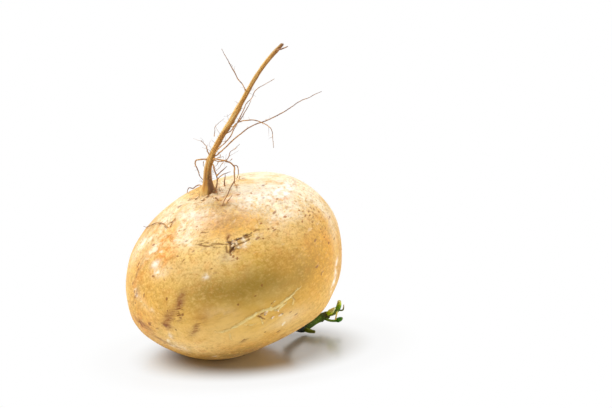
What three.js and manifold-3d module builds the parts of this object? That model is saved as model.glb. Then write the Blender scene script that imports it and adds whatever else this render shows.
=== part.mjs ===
// Jicama root: a squat swollen root lying on a small flat spot, with its thin unswollen tap root still
// on it as a tail, the side roots of that tail, and a short stub of the green vine at the crown.
// Millimetres, +Z up. The origin is on the resting plane, straight under the middle of the swollen root.
// Bearings are degrees round Z from the front (-Y) towards the right (+X); heights are degrees above level.

import * as THREE from 'three';
import { mergeVertices } from 'three/addons/utils/BufferGeometryUtils.js';
import Module from 'manifold-3d';

// ---- Driving dimensions -----------------------------------------------------------------------------

const EQUATOR_RADIUS = 63.6; // of the plain body, across its root axis
const POLE_RADIUS = 46.7; // along its root axis
const LEAN_LEFT = 23.6; // degrees that the root axis leans to the left as the body lies
const LEAN_FRONT = 6; // degrees that it leans to the front
const CENTRE_HEIGHT = 49.4; // of the body's middle over the resting plane
const SKIN_STEPS = 17; // facets along each of the 12 edges of the cube that is blown up into the body

const GAP = 0.3; // clearance between pieces that meet
const BURIED = -1.5; // how deep a root's end starts under the skin before it is cut free

const THREAD_SIDES = 6; // of a thin side root
const THREAD_STEPS = 15;
const THREAD_TAPER = 0.6; // share of its base radius that a side root loses by its tip
const TAIL_SIDES = 12;
const TAIL_STEPS = 36;
const STEM_SIDES = 10;
const STEM_STEPS = 12;

// Broad swellings and hollows of the body: where each is centred, how its long way is turned from level,
// how far it spreads each way in degrees, and how high it rises in millimetres.
const SWELLINGS = [
  { name: 'lower ridge', bearing: 58, height: -30, turn: 15, long: 48, wide: 17, rise: 1.8 },
  { name: 'waist', bearing: 40, height: 6, turn: 8, long: 48, wide: 13, rise: -0.9 },
  { name: 'front shoulder', bearing: -12, height: 52, turn: 0, long: 34, wide: 16, rise: 1 },
  { name: 'right shoulder', bearing: 112, height: 54, turn: 0, long: 26, wide: 17, rise: 1.6 },
  { name: 'right flank', bearing: 92, height: -10, turn: 90, long: 16, wide: 16, rise: 2.6 },
  { name: 'right underside', bearing: 67, height: -21, turn: -45, long: 18, wide: 14, rise: 2.6 },
  { name: 'left flank', bearing: -90, height: 8, turn: 90, long: 26, wide: 20, rise: 0.8 },
  { name: 'left underside', bearing: -76, height: -34, turn: 20, long: 26, wide: 16, rise: 1.4 },
  { name: 'left corner', bearing: -71, height: -25, turn: 0, long: 9, wide: 9, rise: 0.9 },
  { name: 'front base', bearing: -44, height: -62, turn: 0, long: 30, wide: 16, rise: 2.2 },
  { name: 'crown base', bearing: 80, height: -78, turn: 10, long: 26, wide: 20, rise: 2.8 },
  { name: 'back ridge', bearing: 178, height: -8, turn: 5, long: 50, wide: 20, rise: 1.6 },
  { name: 'back waist', bearing: -150, height: 22, turn: -10, long: 40, wide: 14, rise: -1 },
  { name: 'neck', bearing: -53, height: 70, turn: 0, long: 9, wide: 9, rise: 1.2 },
  { name: 'crown', bearing: 113, height: -50, turn: 0, long: 9, wide: 9, rise: 1.4 },
];

// The tail, from under the skin to its broken end.
const TAIL_ROUTE = [
  [-13.4, -9.5, 90], [-13.3, -11, 98], [-13.4, -12, 103], [-13, -12.5, 109], [-10.6, -12.5, 116.5],
  [-5.6, -12, 126], [-0.2, -11, 134.5], [4.9, -10, 143.5], [9.1, -9, 151], [12.9, -7.5, 157.5],
  [17.3, -6, 164], [21.7, -4.5, 169.5], [25.4, -3, 173.3], [28.2, -2, 176.3],
];
const TAIL_COLLAR_RADIUS = 5.8; // where it leaves the body
const TAIL_COLLAR_SHARE = 0.115; // share of its length in which the collar narrows to 1 / e
const TAIL_RADIUS = 2.6; // just over the collar
const TAIL_TIP_RADIUS = 1.15;
const TAIL_TAPER = 0.55; // power of the share by which it tapers: under 1, so most of it low down

// Side roots: the piece or pieces that each grows from or meets, its thickest radius, and its route.
const SIDE_ROOTS = [
  { name: 'side_root_long', meets: ['tail_root'], radius: 0.36,
    route: [[-11, -12.5, 115], [-8, -14.5, 116.5], [-4.5, -17, 120], [0.5, -18.5, 125], [6.5, -19, 130.5],
      [13, -19, 134.5], [21, -18.5, 137.5], [30, -17.5, 142], [37, -16, 146.5], [43, -14.5, 149],
      [50, -13, 152]] },
  { name: 'side_root_curled', meets: ['tail_root'], radius: 0.32,
    route: [[-4.5, -11.8, 126.5], [-2.5, -12.5, 128.5], [0.5, -12.7, 130.5], [2.5, -12.5, 133.5],
      [5.5, -13, 135.3], [9.5, -13.5, 136], [14, -14.5, 136], [17.5, -15, 135], [20.5, -15, 133],
      [22.5, -15, 130.5], [23, -14.5, 126.5], [23.5, -14, 120.5]] },
  { name: 'side_root_top', meets: ['tail_root'], radius: 0.3,
    route: [[8, -9.5, 152], [7, -12, 155], [4, -13, 159.5], [0, -14, 167], [-4.5, -15, 176]] },
  { name: 'side_root_near', meets: ['tail_root'], radius: 0.32,
    route: [[-11, -12.5, 114.5], [-8, -15.5, 119], [-4, -16, 123], [-0.5, -15.5, 127], [2.5, -15, 132.5],
      [5.5, -14, 138.5], [8.5, -13.5, 145], [11.5, -12.5, 148], [13, -12, 151.5], [15, -11.5, 153.5],
      [19.5, -11, 156], [24, -10, 158.5]] },
  { name: 'side_root_far', meets: ['tail_root'], radius: 0.32,
    route: [[-1, -11, 132], [1.5, -9, 131.5], [5, -7.5, 135], [7.5, -6.5, 139], [9.5, -6, 142.5],
      [11, -5.5, 145.5]] },
  { name: 'side_root_left_loop', meets: ['tail_root'], radius: 0.38,
    route: [[-12, -12.5, 113.5], [-14.5, -14, 114], [-17.5, -14.5, 114], [-19.5, -14.5, 113.5],
      [-20, -14.5, 112], [-19, -13.8, 108.5], [-17, -12.5, 103], [-14.5, -11.3, 100.5]] },
  { name: 'side_root_right_loop', meets: ['tail_root', 'tuber'], radius: 0.44,
    route: [[-12, -12.5, 113.5], [-8.5, -16, 114.5], [-4.5, -18.5, 114.5], [-1.5, -20, 114], [0.5, -21, 113],
      [2, -22, 111.5], [2, -24, 108.5], [2, -26, 105], [0, -28, 101], [-2, -29, 97], [-4.2, -29.4, 92.5],
      [-4.8, -28, 89.5]] },
  { name: 'side_root_loop_twig', meets: ['side_root_right_loop'], radius: 0.3,
    route: [[2, -26, 104.5], [2.5, -26.8, 103], [4, -27.8, 101.5]] },
  { name: 'side_root_loop_branch', meets: ['side_root_right_loop'], radius: 0.28,
    route: [[1.2, -21.5, 112.3], [3.5, -20, 111.5], [4, -20, 109], [4, -20.5, 106.5], [3, -22, 104.5]] },
  { name: 'side_root_right', meets: ['tail_root'], radius: 0.28,
    route: [[-10.5, -12.5, 113.5], [-6.5, -11, 112], [-2.5, -10, 113], [-1.5, -9.5, 114.5], [-1, -9, 116.5],
      [1.5, -8, 118.5], [4.5, -7, 121]] },
  { name: 'side_root_left', meets: ['tail_root'], radius: 0.3,
    route: [[-12, -12.5, 115.5], [-13, -13.5, 118.5], [-13.5, -14, 121.5], [-14.5, -14.5, 122.5],
      [-16.5, -15.5, 125]] },
  { name: 'side_root_collar', meets: ['tail_root', 'tuber'], radius: 0.42,
    route: [[-12, -12.5, 112.5], [-10, -15, 111], [-9.5, -17.5, 109.5], [-8, -19.5, 106], [-7.5, -19.5, 103],
      [-8.3, -17.8, 99], [-9.1, -15.4, 95.8], [-10, -12.6, 92.5]] },
  { name: 'side_root_collar_branch', meets: ['side_root_collar'], radius: 0.34,
    route: [[-8, -19.5, 106], [-6, -20.5, 108], [-3.5, -21.5, 110.5], [-2, -22, 112]] },
  { name: 'side_root_collar_twig', meets: ['side_root_collar'], radius: 0.3,
    route: [[-7.5, -19.6, 104], [-6, -21.5, 106], [-4.5, -22.5, 107.5], [-2.5, -23.5, 108.5],
      [0, -24.5, 109.5]] },
  { name: 'tail_twig', meets: ['tail_root'], radius: 0.5,
    route: [[25, -3.3, 173], [27, -5.5, 174], [28.5, -6.5, 174.5], [31.5, -7, 176]] },
];

// Roots that grow from the skin itself: each point is a bearing, a height and a lift off the skin.
const SKIN_ROOTS = [
  { name: 'skin_root_upright', radius: 0.42,
    route: [[-34, 80.5, BURIED], [-33, 81, 1.5], [-32, 81.5, 4], [-30, 82, 6.5]] },
  { name: 'skin_root_front', radius: 0.34, route: [[-28, 65, BURIED], [-20, 62, 1], [-14, 59, BURIED]] },
  { name: 'skin_root_crossing', radius: 0.3, route: [[-6, 56, BURIED], [-3, 58.5, 0.9], [2, 63, 1.8]] },
  { name: 'skin_root_left', radius: 0.34,
    route: [[-98, 69, BURIED], [-108, 66, 1.6], [-113, 62, 1.4], [-114, 59, 0.9], [-112, 57, 2.2],
      [-112, 54.5, 0.8], [-113, 52, BURIED]] },
  { name: 'skin_root_shoulder', radius: 0.32,
    route: [[-51, 32.5, BURIED], [-57, 34, 0.8], [-66, 34, 0.8], [-76, 31.5, 0.8], [-84, 26, 0.8],
      [-90, 23.5, 0.9], [-95, 22, 1.8]] },
];

// The vine at the crown, each piece with its radii from one end to the other.
const STEMS = [
  { name: 'vine_stem', meets: ['tuber'], radii: [2.7, 2.2, 2.1, 2.1, 2.2, 2.5, 2.1],
    route: [[29, 12.5, 9], [34.5, 15.8, 5.6], [39.8, 19, 3.3], [43.8, 22, 4.9], [47.8, 26, 6.5],
      [51.5, 29, 7.5], [55.2, 30, 8.5]] },
  { name: 'old_stem_stub', meets: ['vine_stem'], radii: [1.4, 1.3, 0.8],
    route: [[40, 18.8, 3.4], [43.7, 16.5, 2.8], [46.9, 15.5, 2.6]] },
  { name: 'vine_shoot', meets: ['vine_stem'], radii: [1.4, 1.7, 1.6, 1.45, 1.1],
    route: [[55, 30, 8.5], [58, 28, 10.6], [60.2, 26, 13.6], [60.9, 25, 16.4], [61.1, 24, 18.9]] },
  { name: 'axil_bud', meets: ['vine_stem', 'vine_shoot'], radii: [1.1, 1.6, 0.7],
    route: [[54, 29.3, 9], [56.3, 26, 11.8], [58.4, 23.8, 14.6]] },
  { name: 'leaf_stalk', meets: ['vine_stem'], radii: [0.9, 0.75, 0.75],
    route: [[52.6, 28.2, 6.6], [55.9, 26, 6], [59.2, 25, 6.2]] },
  { name: 'leaf_base', meets: ['leaf_stalk'], radii: [0.9, 1.8, 1.6, 0.7],
    route: [[58.7, 25, 6.2], [60.3, 25.5, 6.5], [61.7, 26, 7], [63, 27, 7.3]] },
  { name: 'stipule_left', meets: ['vine_shoot', 'leaf_stalk', 'leaf_base'], radii: [0.6, 0.55, 0.5],
    route: [[59.9, 25.6, 12.4], [59.3, 23.6, 9.8], [58.8, 24, 7.3]] },
  { name: 'stipule_right', meets: ['vine_shoot'], radii: [0.5, 0.45, 0.3],
    route: [[60.4, 25.5, 12.6], [63.2, 25, 13], [63.8, 24, 16.6]] },
];

const COLOURS = { skin: 0xd9b06a, bark: 0xa8703a, thread: 0x8a5a3a, green: 0x4d6b26, lime: 0x9fb83c };

// ---- The body's skin --------------------------------------------------------------------------------

const radians = THREE.MathUtils.degToRad;
const degrees = THREE.MathUtils.radToDeg;

/** Unit vector from the body's middle at a bearing and a height. */
function direction(bearing, height) {
  const level = Math.cos(radians(height));
  return new THREE.Vector3(
    level * Math.sin(radians(bearing)),
    -level * Math.cos(radians(bearing)),
    Math.sin(radians(height)),
  );
}

const ROOT_AXIS = new THREE.Vector3(
  -Math.sin(radians(LEAN_LEFT)),
  -Math.cos(radians(LEAN_LEFT)) * Math.sin(radians(LEAN_FRONT)),
  Math.cos(radians(LEAN_LEFT)) * Math.cos(radians(LEAN_FRONT)),
);

/** A swelling with the axes that its two spreads are measured along. */
function withAxes(swelling) {
  const centre = direction(swelling.bearing, swelling.height);
  const level = direction(swelling.bearing + 90, 0);
  const longWay = level.clone().applyAxisAngle(centre, radians(swelling.turn));
  return { ...swelling, centre, longWay, wideWay: centre.clone().cross(longWay) };
}

const BELLS = SWELLINGS.map(withAxes);

/** Height of a swelling in a direction: a bell curve of the angles along and across it. */
function bellHeight(bell, out) {
  const along = degrees(Math.atan2(out.dot(bell.longWay), out.dot(bell.centre)));
  const across = degrees(Math.asin(THREE.MathUtils.clamp(out.dot(bell.wideWay), -1, 1)));
  return bell.rise * Math.exp(-((along / bell.long) ** 2) - (across / bell.wide) ** 2);
}

/** Distance from the body's middle to its skin: a flattened ball plus its swellings. */
function skinReach(out) {
  const along = out.dot(ROOT_AXIS);
  const across = Math.sqrt(Math.max(0, 1 - along * along));
  const plain = 1 / Math.hypot(across / EQUATOR_RADIUS, along / POLE_RADIUS);
  return BELLS.reduce((reach, bell) => reach + bellHeight(bell, out), plain);
}

/** Point at a bearing, a height and a lift off the skin. */
function onSkin([bearing, height, lift]) {
  const out = direction(bearing, height);
  const point = out.clone().multiplyScalar(skinReach(out) + lift);
  return [point.x, point.y, point.z + CENTRE_HEIGHT];
}

/** The body: a cube blown up to the skin, pressed flat where it rests. It can be grown by a clearance. */
function bodyGeometry(grown = 0) {
  const cube = new THREE.BoxGeometry(2, 2, 2, SKIN_STEPS, SKIN_STEPS, SKIN_STEPS);
  const places = cube.getAttribute('position');
  const out = new THREE.Vector3();
  for (let i = 0; i < places.count; i += 1) {
    out.fromBufferAttribute(places, i);
    // Even angles over each face of the cube give facets of one size.
    out.set(...out.toArray().map((side) => Math.tan((side * Math.PI) / 4))).normalize();
    out.multiplyScalar(skinReach(out) + grown);
    places.setXYZ(i, out.x, out.y, Math.max(out.z + CENTRE_HEIGHT, -grown));
  }
  return cube;
}

// ---- Round pieces along a route ---------------------------------------------------------------------

/** A closed round piece along a smooth route, with its radius given for each share of the length. */
function rodGeometry(route, radiusAt, sides, steps) {
  const points = route.map((point) => new THREE.Vector3(...point));
  const path = new THREE.CatmullRomCurve3(points, false, 'centripetal');
  const frames = path.computeFrenetFrames(steps, false);
  const rod = new THREE.CylinderGeometry(1, 1, 1, sides, steps);
  const places = rod.getAttribute('position');
  const at = new THREE.Vector3();
  for (let i = 0; i < places.count; i += 1) {
    const step = Math.round((places.getY(i) + 0.5) * steps);
    const share = step / steps;
    const radius = radiusAt(share);
    at.copy(path.getPointAt(share));
    at.addScaledVector(frames.binormals[step], places.getX(i) * radius);
    at.addScaledVector(frames.normals[step], places.getZ(i) * radius);
    places.setXYZ(i, at.x, at.y, at.z);
  }
  return rod;
}

/** Radius of the tail: a collar that dies away, then a slow taper. */
function tailRadius(share) {
  const collar = (TAIL_COLLAR_RADIUS - TAIL_RADIUS) * Math.exp(-((share / TAIL_COLLAR_SHARE) ** 2));
  return collar + THREE.MathUtils.lerp(TAIL_RADIUS, TAIL_TIP_RADIUS, share ** TAIL_TAPER);
}

/** Radius of a thin root: full at its base, tapering ever faster to its tip. */
function threadRadius(radius) {
  return (share) => radius * (1 - THREAD_TAPER * share * share);
}

/** Radius read from a short list that is spread evenly over the length. */
function listedRadius(radii) {
  return (share) => {
    const place = share * (radii.length - 1);
    const before = Math.min(Math.floor(place), radii.length - 2);
    return THREE.MathUtils.lerp(radii[before], radii[before + 1], place - before);
  };
}

// ---- Solids -----------------------------------------------------------------------------------------

const wasm = await Module();
wasm.setup();

/** A closed geometry as a solid. */
function solidOf(geometry) {
  const bare = geometry.clone();
  bare.deleteAttribute('normal');
  bare.deleteAttribute('uv');
  const merged = mergeVertices(bare, 1e-4);
  return new wasm.Manifold(new wasm.Mesh({
    numProp: 3,
    vertProperties: merged.getAttribute('position').array,
    triVerts: new Uint32Array(merged.index.array),
  }));
}

/** A solid back as a geometry. */
function geometryOf(solid) {
  const { vertProperties, triVerts } = solid.getMesh();
  const geometry = new THREE.BufferGeometry();
  geometry.setAttribute('position', new THREE.BufferAttribute(vertProperties, 3));
  geometry.setIndex(new THREE.BufferAttribute(triVerts, 1));
  geometry.computeVertexNormals();
  return geometry;
}

const jicama = new THREE.Group();
const grownSolids = new Map(); // each piece with its clearance round it, to cut its neighbours free

/** Adds a piece made by shapeOf(clearance), cut free of the pieces that it meets. */
function addPiece(name, shapeOf, meets, colour, roughness) {
  const solid = meets.reduce((left, other) => left.subtract(grownSolids.get(other)), solidOf(shapeOf(0)));
  grownSolids.set(name, solidOf(shapeOf(GAP)));
  const material = new THREE.MeshStandardMaterial({ color: colour, roughness, metalness: 0 });
  const piece = new THREE.Mesh(geometryOf(solid), material);
  piece.name = name;
  jicama.add(piece);
}

/** Adds a round piece along a route. */
function addRod(name, route, radiusAt, sides, steps, meets, colour, roughness) {
  const shapeOf = (grown) => rodGeometry(route, (share) => radiusAt(share) + grown, sides, steps);
  addPiece(name, shapeOf, meets, colour, roughness);
}

addPiece('tuber', bodyGeometry, [], COLOURS.skin, 0.6);
addRod('tail_root', TAIL_ROUTE, tailRadius, TAIL_SIDES, TAIL_STEPS, ['tuber'], COLOURS.bark, 0.8);

for (const { name, meets, radius, route } of SIDE_ROOTS) {
  addRod(name, route, threadRadius(radius), THREAD_SIDES, THREAD_STEPS, meets, COLOURS.thread, 0.8);
}

for (const { name, radius, route } of SKIN_ROOTS) {
  const lifted = route.map(onSkin);
  addRod(name, lifted, threadRadius(radius), THREAD_SIDES, THREAD_STEPS, ['tuber'], COLOURS.thread, 0.8);
}

for (const { name, meets, radii, route } of STEMS) {
  const colour = name === 'vine_stem' || name === 'old_stem_stub' ? COLOURS.green : COLOURS.lime;
  addRod(name, route, listedRadius(radii), STEM_SIDES, STEM_STEPS, meets, colour, 0.6);
}

export default jicama;
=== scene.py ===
"""Jicama root on a pale floor: a squat swollen root with its thin tap root standing up as a tail, the
side roots of that tail, and a stub of green vine at the crown.

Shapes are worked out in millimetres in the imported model's frame (+Z up, front at -Y, resting plane at
z = 0) and become metres when a mesh is made. Bearings are degrees round Z from the front towards the
right; heights are degrees above level; both are seen from the middle of the swollen root.
"""

import logging
import math
from dataclasses import dataclass
from enum import Enum
from functools import partial, reduce

import bpy
import numpy as np
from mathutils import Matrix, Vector


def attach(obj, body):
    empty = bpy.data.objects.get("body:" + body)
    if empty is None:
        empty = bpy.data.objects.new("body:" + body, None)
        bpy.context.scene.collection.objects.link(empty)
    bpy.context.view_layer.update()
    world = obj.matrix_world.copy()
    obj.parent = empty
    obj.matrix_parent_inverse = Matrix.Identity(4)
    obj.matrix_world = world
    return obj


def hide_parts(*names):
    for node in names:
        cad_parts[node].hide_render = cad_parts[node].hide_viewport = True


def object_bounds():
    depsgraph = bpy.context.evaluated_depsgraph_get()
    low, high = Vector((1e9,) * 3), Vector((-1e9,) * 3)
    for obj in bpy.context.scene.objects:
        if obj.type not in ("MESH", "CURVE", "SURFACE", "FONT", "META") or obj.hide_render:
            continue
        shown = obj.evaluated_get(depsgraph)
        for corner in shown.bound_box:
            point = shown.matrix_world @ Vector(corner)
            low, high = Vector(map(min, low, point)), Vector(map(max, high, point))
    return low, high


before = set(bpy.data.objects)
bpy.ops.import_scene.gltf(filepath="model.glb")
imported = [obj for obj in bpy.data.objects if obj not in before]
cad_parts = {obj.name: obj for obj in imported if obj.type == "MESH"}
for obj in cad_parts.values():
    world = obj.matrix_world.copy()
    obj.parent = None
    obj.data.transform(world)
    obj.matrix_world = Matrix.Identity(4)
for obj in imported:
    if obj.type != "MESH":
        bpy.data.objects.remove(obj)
CAD_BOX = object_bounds()

log = logging.getLogger("jicama")

MM = 0.001
BODY = "root"
TAU = 2 * math.pi
WHITE = (1.0, 1.0, 1.0, 1.0)

Socket = bpy.types.NodeSocket
Shape = tuple[np.ndarray, list, dict]  # vertices in millimetres, faces, and fields on the vertices


# ---- Shared mathematics ------------------------------------------------------------------------------


def unit(vectors: np.ndarray) -> np.ndarray:
    """The vectors, each divided by its length."""
    return vectors / np.linalg.norm(vectors, axis=-1, keepdims=True)


def hump(values: np.ndarray) -> np.ndarray:
    """A bell curve round 0: exp(-values^2)."""
    return np.exp(-(values**2))


def direction(bearing: np.ndarray | float, height: np.ndarray | float) -> np.ndarray:
    """Unit vectors at bearings and heights.

    Args:
        bearing: degrees round Z from the front (-Y) towards the right (+X).
        height: degrees above level.

    Returns:
        An array of the inputs' shape with a last axis of 3.
    """
    turn, rise = np.radians(bearing), np.radians(height)
    level = np.cos(rise)
    return np.stack([level * np.sin(turn), -level * np.cos(turn), np.sin(rise) * np.ones_like(turn)], axis=-1)


def smooth_step(low: float, high: float, values: np.ndarray) -> np.ndarray:
    """Rises from 0 at low to 1 at high along the curve 3t^2 - 2t^3; a low above high makes it fall."""
    share = np.clip((values - low) / (high - low), 0.0, 1.0)
    return share * share * (3 - 2 * share)


def lattice_noise(points: np.ndarray, size: float, seed: int) -> np.ndarray:
    """Smooth noise from -1 to 1.

    Each corner of a cubic lattice has a random value, hashed from its whole-number place. A point's
    value blends the eight corners round it by the smooth step of its place in the cube.

    Args:
        points: places, with a last axis of 3.
        size: side of a lattice cube.
        seed: picks another set of random values.

    Returns:
        One value for each point.
    """
    scaled = points / size
    corner = np.floor(scaled).astype(np.int64)
    inner = smooth_step(0.0, 1.0, scaled - corner)
    total = np.zeros(points.shape[:-1])
    for offset in np.ndindex(2, 2, 2):
        x, y, z = np.moveaxis(corner + np.array(offset), -1, 0)
        mixed = (x * 73856093) ^ (y * 19349663) ^ (z * 83492791) ^ (seed * 7919)
        mixed = ((mixed ^ (mixed >> 13)) * 1274126177) & 0xFFFFFFFF
        mixed = ((mixed ^ (mixed >> 16)) * 668265263) & 0xFFFFFFFF
        weight = np.prod(np.where(np.array(offset) == 1, inner, 1 - inner), axis=-1)
        total += weight * (mixed / 2147483648.0 - 1.0)
    return total


def fractal(points: np.ndarray, size: float, seed: int, layers: int = 3) -> np.ndarray:
    """Sums lattice noise whose size and strength halve with each layer, from about -1 to 1."""
    total = sum(lattice_noise(points, size / 2**k, seed + k) / 2**k for k in range(layers))
    return total / (2 - 2.0 ** (1 - layers))


def smooth_route(points: np.ndarray, count: int) -> np.ndarray:
    """A smooth curve through points, with evenly spaced places along it.

    The curve is the centripetal Catmull-Rom spline: between two points it is the cubic whose slopes
    come from the neighbours, with knots spaced by the square root of the distance. The ends get a
    mirrored neighbour.

    Args:
        points: the points, in order.
        count: how many places to return.

    Returns:
        Places at even steps of length.
    """
    points = np.asarray(points, dtype=float)
    padded = np.vstack([2 * points[0] - points[1], points, 2 * points[-1] - points[-2]])
    knots = np.sqrt(np.linalg.norm(np.diff(padded, axis=0), axis=1))
    before, middle, after = knots[:-2, None], knots[1:-1, None], knots[2:, None]
    p0, p1, p2, p3 = padded[:-3], padded[1:-2], padded[2:-1], padded[3:]
    slope1 = ((p1 - p0) / before - (p2 - p0) / (before + middle) + (p2 - p1) / middle) * middle
    slope2 = ((p2 - p1) / middle - (p3 - p1) / (middle + after) + (p3 - p2) / after) * middle
    t = np.linspace(0, 1, 25)[:-1][None, :, None]
    p1, p2, slope1, slope2 = p1[:, None], p2[:, None], slope1[:, None], slope2[:, None]
    square = -3 * p1 + 3 * p2 - 2 * slope1 - slope2
    cube = 2 * p1 - 2 * p2 + slope1 + slope2
    fine = p1 + slope1 * t + square * t**2 + cube * t**3
    fine = np.vstack([fine.reshape(-1, 3), points[-1]])
    length = np.concatenate([[0], np.cumsum(np.linalg.norm(np.diff(fine, axis=0), axis=1))])
    even = np.linspace(0, length[-1], count)
    return np.stack([np.interp(even, length, fine[:, axis]) for axis in range(3)], axis=-1)


def route_length(points: np.ndarray) -> float:
    """Length of a route through points, in the points' unit."""
    return float(np.linalg.norm(np.diff(smooth_route(points, 200), axis=0), axis=1).sum())


def gap_to_line(points: np.ndarray, line: np.ndarray) -> tuple[np.ndarray, np.ndarray]:
    """How far points are from a line of straight pieces.

    For each piece of the line the nearest place is the point's projection on it, kept between its ends.

    Args:
        points: places, with a last axis of 3.
        line: the line's corners, in order.

    Returns:
        The distance of each point, and the share of the line's length at which its nearest place lies.
    """
    starts, steps = line[:-1], np.diff(line, axis=0)
    lengths = np.linalg.norm(steps, axis=1)
    passed = np.concatenate([[0], np.cumsum(lengths)])
    best, share = np.full(points.shape[:-1], np.inf), np.zeros(points.shape[:-1])
    for start, step, size, done in zip(starts, steps, lengths, passed):
        along = np.clip((points - start) @ step / size**2, 0, 1)
        away = np.linalg.norm(points - start - along[..., None] * step, axis=-1)
        nearer = away < best
        best = np.where(nearer, away, best)
        share = np.where(nearer, (done + along * size) / passed[-1], share)
    return best, share


# ---- Meshes ------------------------------------------------------------------------------------------


def link(name: str, data: bpy.types.ID) -> bpy.types.Object:
    """An object with this data, put in the scene.

    Args:
        name: the object's name.
        data: a mesh, a lamp or a camera.

    Returns:
        The object.
    """
    made = bpy.data.objects.new(name, data)
    bpy.context.scene.collection.objects.link(made)
    return made


def make_piece(
    name: str, shape: Shape, material: bpy.types.Material, slot: str, *nodes: str
) -> bpy.types.Object:
    """Makes a smooth mesh object at the origin, rides it on the root body and reports it.

    Args:
        name: the piece's name.
        shape: vertices in millimetres, faces wound so that they face out, and fields on the vertices,
            kept as attributes: numbers, or vectors where there are 3 each.
        material: its only material.
        slot: the record's material slot; not used.
        *nodes: names of the solids that it stands for, which are hidden.

    Returns:
        The object, linked to the scene.
    """
    points, faces, fields = shape
    mesh = bpy.data.meshes.new(name)
    mesh.from_pydata((points * MM).tolist(), [], faces)
    for key, values in fields.items():
        kind, entry = ("FLOAT", "value") if values.ndim == 1 else ("FLOAT_VECTOR", "vector")
        layer = mesh.attributes.new(key, kind, "POINT")
        layer.data.foreach_set(entry, values.astype(np.float32).ravel())
    mesh.materials.append(material)
    mesh.shade_smooth()
    mesh.update()
    piece = link(name, mesh)
    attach(piece, BODY)
    if nodes:
        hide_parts(*nodes)
    log.info("%s: %d faces, stands for %s", name, len(mesh.polygons), ", ".join(nodes) or "nothing")
    return piece


@dataclass
class Rod:
    """A closed round piece along a route.

    A ring of the section is carried along the route: its place at a share s of the length and an angle a
    is centre(s) + radius(s, a) * (cos a * side(s) + sin a * up(s)). Side is square to the route and to
    the route's flattest direction, so that the section never twists. Both ends close in a point.
    """

    route: tuple | np.ndarray
    sides: int
    step: float

    def __post_init__(self) -> None:
        """Works out the rings' centres and axes."""
        self.length = route_length(self.route)
        self.rings = max(6, int(self.length / self.step))
        self.centres = smooth_route(self.route, self.rings)
        self.ahead = unit(np.gradient(self.centres, axis=0))
        flattest = np.linalg.svd(self.ahead, full_matrices=False)[2][-1]
        side = unit(np.cross(flattest, self.ahead))
        up = np.cross(self.ahead, side)
        self.share = np.linspace(0, 1, self.rings)[:, None] * np.ones((1, self.sides))
        self.angle = np.linspace(0, TAU, self.sides, endpoint=False)[None, :] * np.ones((self.rings, 1))
        turned = np.cos(self.angle)[..., None] * side[:, None]
        self.outward = turned + np.sin(self.angle)[..., None] * up[:, None]

    def straight(self, radius: float) -> np.ndarray:
        """Places on the rod as if it were unbent: round with this radius, and its length along Z."""
        across = [radius * np.cos(self.angle), radius * np.sin(self.angle)]
        return np.stack([*across, self.share * self.length], axis=-1)

    def shape(
        self, radius: np.ndarray, fields: dict, drift: np.ndarray | float = 0.0, tip: float = 0.5
    ) -> Shape:
        """The rod as a closed shape.

        Args:
            radius: radius at each ring and angle, in millimetres.
            fields: values at each ring and angle.
            drift: shift of each place, such as a wobble of the centre line or a ragged end.
            tip: how far each end's point stands out, as a share of the end's radius.

        Returns:
            Vertices, with the two end points last, faces, and the fields on the vertices.
        """
        places = self.centres[:, None] + radius[..., None] * self.outward + drift
        first = places[0].mean(axis=0) - self.ahead[0] * radius[0].mean() * tip
        last = places[-1].mean(axis=0) + self.ahead[-1] * radius[-1].mean() * tip
        points = np.vstack([places.reshape(-1, 3), first, last])
        ring = np.arange(self.rings - 1)[:, None] * self.sides
        here = np.arange(self.sides)
        beside = (here + 1) % self.sides
        above = ring + self.sides
        quads = np.stack([ring + here, ring + beside, above + beside, above + here], -1)
        head, foot = np.full_like(here, len(points) - 2), (self.rings - 1) * self.sides
        starts = np.stack([beside, here, head], -1)
        ends = np.stack([foot + here, foot + beside, head + 1], -1)
        faces = quads.reshape(-1, 4).tolist() + starts.tolist() + ends.tolist()
        return points, faces, {key: self.spread(values) for key, values in fields.items()}

    def spread(self, values: np.ndarray) -> np.ndarray:
        """Values on the rings as values on the vertices, with each end point taking its ring's mean."""
        flat = values.reshape(self.rings * self.sides, *values.shape[2:])
        return np.concatenate([flat, values[0].mean(axis=0)[None], values[-1].mean(axis=0)[None]])


def joined(parts: list[Shape]) -> Shape:
    """Several closed shapes as one.

    Args:
        parts: the shapes, which have the same fields.

    Returns:
        The vertices, faces and fields of them all.
    """
    points, faces, done = [], [], 0
    for place, face, _ in parts:
        points.append(place)
        faces += [[index + done for index in corners] for corners in face]
        done += len(place)
    fields = {key: np.concatenate([kept[key] for _, _, kept in parts]) for key in parts[0][2]}
    return np.vstack(points), faces, fields


# ---- Finishes ----------------------------------------------------------------------------------------


def tone(code: str) -> tuple[float, float, float, float]:
    """A colour written as six hexadecimal digits on the screen's scale, as linear red, green, blue, alpha.

    Args:
        code: the digits.

    Returns:
        The linear colour, by the standard curve of screens.
    """
    shares = [int(code[k : k + 2], 16) / 255 for k in (0, 2, 4)]
    linear = [s / 12.92 if s <= 0.04045 else ((s + 0.055) / 1.055) ** 2.4 for s in shares]
    return (*linear, 1.0)


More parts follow.
